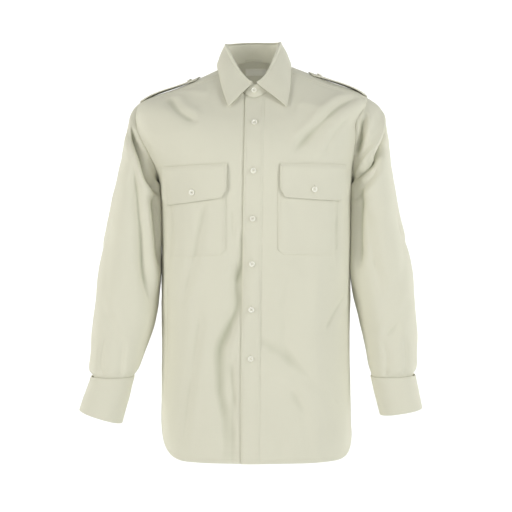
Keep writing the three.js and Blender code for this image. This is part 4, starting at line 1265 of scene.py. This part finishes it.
# A row of stitches at a distance from an edge of a piece; span is the part of the edge it runs along.
def seamRow(name, edge, distance, span=(0, 1), ends=None):
    grid, normals = surfaces[name]
    if edge in ("first", "last"):
        grid, normals = grid.swapaxes(0, 1), normals.swapaxes(0, 1)
    if edge in ("top", "last"):
        grid, normals = grid[::-1], normals[::-1]
    depth = max(3, min(len(grid) - 1, 12))
    inwards = reach(grid[: depth + 1], 0)
    place = np.array([np.interp(distance, column, np.arange(depth + 1)) for column in inwards.T])
    low = np.minimum(place.astype(int), depth - 1)
    f, i = (place - low)[:, None], np.arange(grid.shape[1])
    line = mix(grid[low, i], grid[low + 1, i], f)
    out = unit(mix(normals[low, i], normals[low + 1, i], f))
    along = reach(grid[:1], 1)[0]
    long = along[-1]
    margin = distance if ends is None else ends
    keep = (along >= max(span[0] * long, margin)) & (along <= min(span[1] * long, long - margin))
    return line[keep], out[keep], None


bodyRows, armRows, smallRows, holeRows = [], [], [], []
armpitShare = 0.66        # of the back's side edge, the part below the armpit
for word in ("left", "right"):
    for distance in (1.6, 6.4):
        bodyRows.append(seamRow("front_" + word, "last", distance, ends=1))
        armRows.append(seamRow("sleeve_" + word, "first", distance, (0.02, 0.985)))
        smallRows += [seamRow("pocket_" + word, edge, distance) for edge in ("first", "last", "bottom")]
        smallRows.append(seamRow("pocket_flap_" + word, "top", distance, ends=1.5))
    bodyRows.append(seamRow("front_" + word, "bottom", 6.2, ends=3))
    smallRows += [seamRow("pocket_flap_" + word, edge, 4.8) for edge in ("first", "last", "bottom")]
    smallRows += [seamRow("shoulder_strap_" + word, edge, 4.8) for edge in ("first", "last", "top")]
    armRows += [seamRow("cuff_" + word, edge, 4.8) for edge in ("first", "last", "bottom", "top")]
    armRows += [seamRow("sleeve_placket_" + word, edge, 1.8) for edge in ("first", "last", "bottom", "top")]
for distance in (1.6, 6.4):
    bodyRows += [seamRow("back", edge, distance, (armpitShare, 1)) for edge in ("first", "last")]
    bodyRows += [seamRow("yoke", edge, distance) for edge in ("bottom", "first", "last")]
bodyRows.append(seamRow("back", "bottom", 6.2, ends=3))
bodyRows += [seamRow("placket", edge, 5) for edge in ("first", "last")]
bodyRows.append(seamRow("placket", "bottom", 6.2, ends=5))
smallRows += [seamRow("collar", edge, 5) for edge in ("first", "last", "bottom")]
smallRows += [seamRow("collar_stand", edge, 2.2, ends=1) for edge in ("first", "last", "bottom", "top")]
smallRows += [seamRow("label", edge, 1.6) for edge in ("first", "last", "bottom", "top")]
for below, columns, place, way, across in buttonholes:
    s = np.linspace(-8, 8, 15)[:, None]
    for offset in (-0.85, 0.85):
        line, out = onCloth(below, place + way * s + across * offset, columns)
        holeRows.append((line, out, across))
    for end in (-8.2, 8.2):
        line, out = onCloth(below, place + way * end + across * np.linspace(-1.3, 1.3, 4)[:, None], columns)
        holeRows.append((line, out, way))
sew("stitches_body", bodyRows, topstitch)
sew("stitches_sleeves", armRows, topstitch)
sew("stitches_small", smallRows, topstitch)
sew("stitches_buttonholes", holeRows, holeStitch)


# Floor, light and camera

stage = {"floor": -1.5, "wall": 5.5, "bend": 2.5, "near": -6, "top": 6, "half": 9,
         "colour": (0.86, 0.86, 0.85)}
shirtMiddle = (0, 0, -0.3)
areaLights = [      # name, place, target, size, power and colour
    ("left softbox", (-2.75, -1.95, 0.27), shirtMiddle, (1.1, 1.9), 57, (1, 0.985, 0.96)),
    ("right softbox", (2.75, -1.9, 0.32), shirtMiddle, (1.1, 1.9), 57, (0.98, 0.99, 1)),
    ("front fill", (0.2, -4.2, 0.5), (0, 0, -0.4), (1.4, 1.4), 26, (1, 1, 1)),
    ("backdrop left", (-3.6, 1.6, 1.4), (-1, 5.4, -0.2), (1.5, 3), 170, (1, 1, 1)),
    ("backdrop right", (3.6, 1.6, 1.4), (1, 5.4, -0.2), (1.5, 3), 170, (1, 1, 1)),
]
neckLamp = {"place": (0, -0.012, -0.075), "target": (0, 0.08, 0), "power": 0.085, "size": 0.02}
photo = {"target": (3, 0, -390), "distance": 3000, "elevation": 4, "scale": 2.05, "width": 512}


def makeStage():
    bend, straight = stage["bend"], stage["wall"] - stage["bend"]
    profile = [(stage["near"], stage["floor"]), (straight, stage["floor"])]
    for k in range(1, 13):
        turn = math.radians(90 * k / 12)
        profile.append((straight + bend * math.sin(turn), stage["floor"] + bend * (1 - math.cos(turn))))
    profile.append((stage["wall"], stage["top"]))
    vertices = [(x, y, z) for x in (-stage["half"], stage["half"]) for y, z in profile]
    count = len(profile)
    faces = [(i, i + 1, count + i + 1, count + i) for i in range(count - 1)]
    mesh = bpy.data.meshes.new("floor")
    mesh.from_pydata(vertices, [], faces)
    mesh.polygons.foreach_set("use_smooth", [True] * len(mesh.polygons))
    material, _, shader = newMaterial("pale floor", stage["colour"], 0.9)
    shader.inputs["Base Color"].default_value = (*stage["colour"], 1)
    newPiece("floor", mesh, material)


def placeLamp(light, place, target):
    lamp = bpy.data.objects.new(light.name, light)
    lamp.location = place
    lamp.rotation_euler = (Vector(target) - Vector(place)).to_track_quat("-Z", "Y").to_euler()
    bpy.context.scene.collection.objects.link(lamp)


def lightAndCamera():
    for name, place, target, size, power, colour in areaLights:
        light = bpy.data.lights.new(name, "AREA")
        light.shape, light.size, light.size_y = "RECTANGLE", *size
        light.energy, light.color = power, colour
        placeLamp(light, place, target)
    # a small lamp inside the neck, for the light that real cloth lets through
    inner = bpy.data.lights.new("inner lamp", "POINT")
    inner.energy, inner.shadow_soft_size = neckLamp["power"], neckLamp["size"]
    placeLamp(inner, neckLamp["place"], neckLamp["target"])
    world = bpy.data.worlds.new("studio")
    bpy.context.scene.world = world
    world.use_nodes = True
    world.node_tree.nodes["Background"].inputs["Color"].default_value = (1, 1, 1, 1)
    world.node_tree.nodes["Background"].inputs["Strength"].default_value = 0.24
    camera = bpy.data.cameras.new("camera")
    camera.sensor_width = 36
    camera.lens = photo["distance"] / photo["scale"] / photo["width"] * camera.sensor_width
    camera.clip_start, camera.clip_end = 0.1, 60
    holder = bpy.data.objects.new("camera", camera)
    tilt = math.radians(photo["elevation"])
    away = Vector((0, -math.cos(tilt), math.sin(tilt)))
    holder.location = Vector(photo["target"]) * mm + away * photo["distance"] * mm
    holder.rotation_euler = (-away).to_track_quat("-Z", "Y").to_euler()
    bpy.context.scene.collection.objects.link(holder)
    bpy.context.scene.camera = holder


makeStage()
lightAndCamera()
bpy.context.scene.view_settings.view_transform = "Standard"
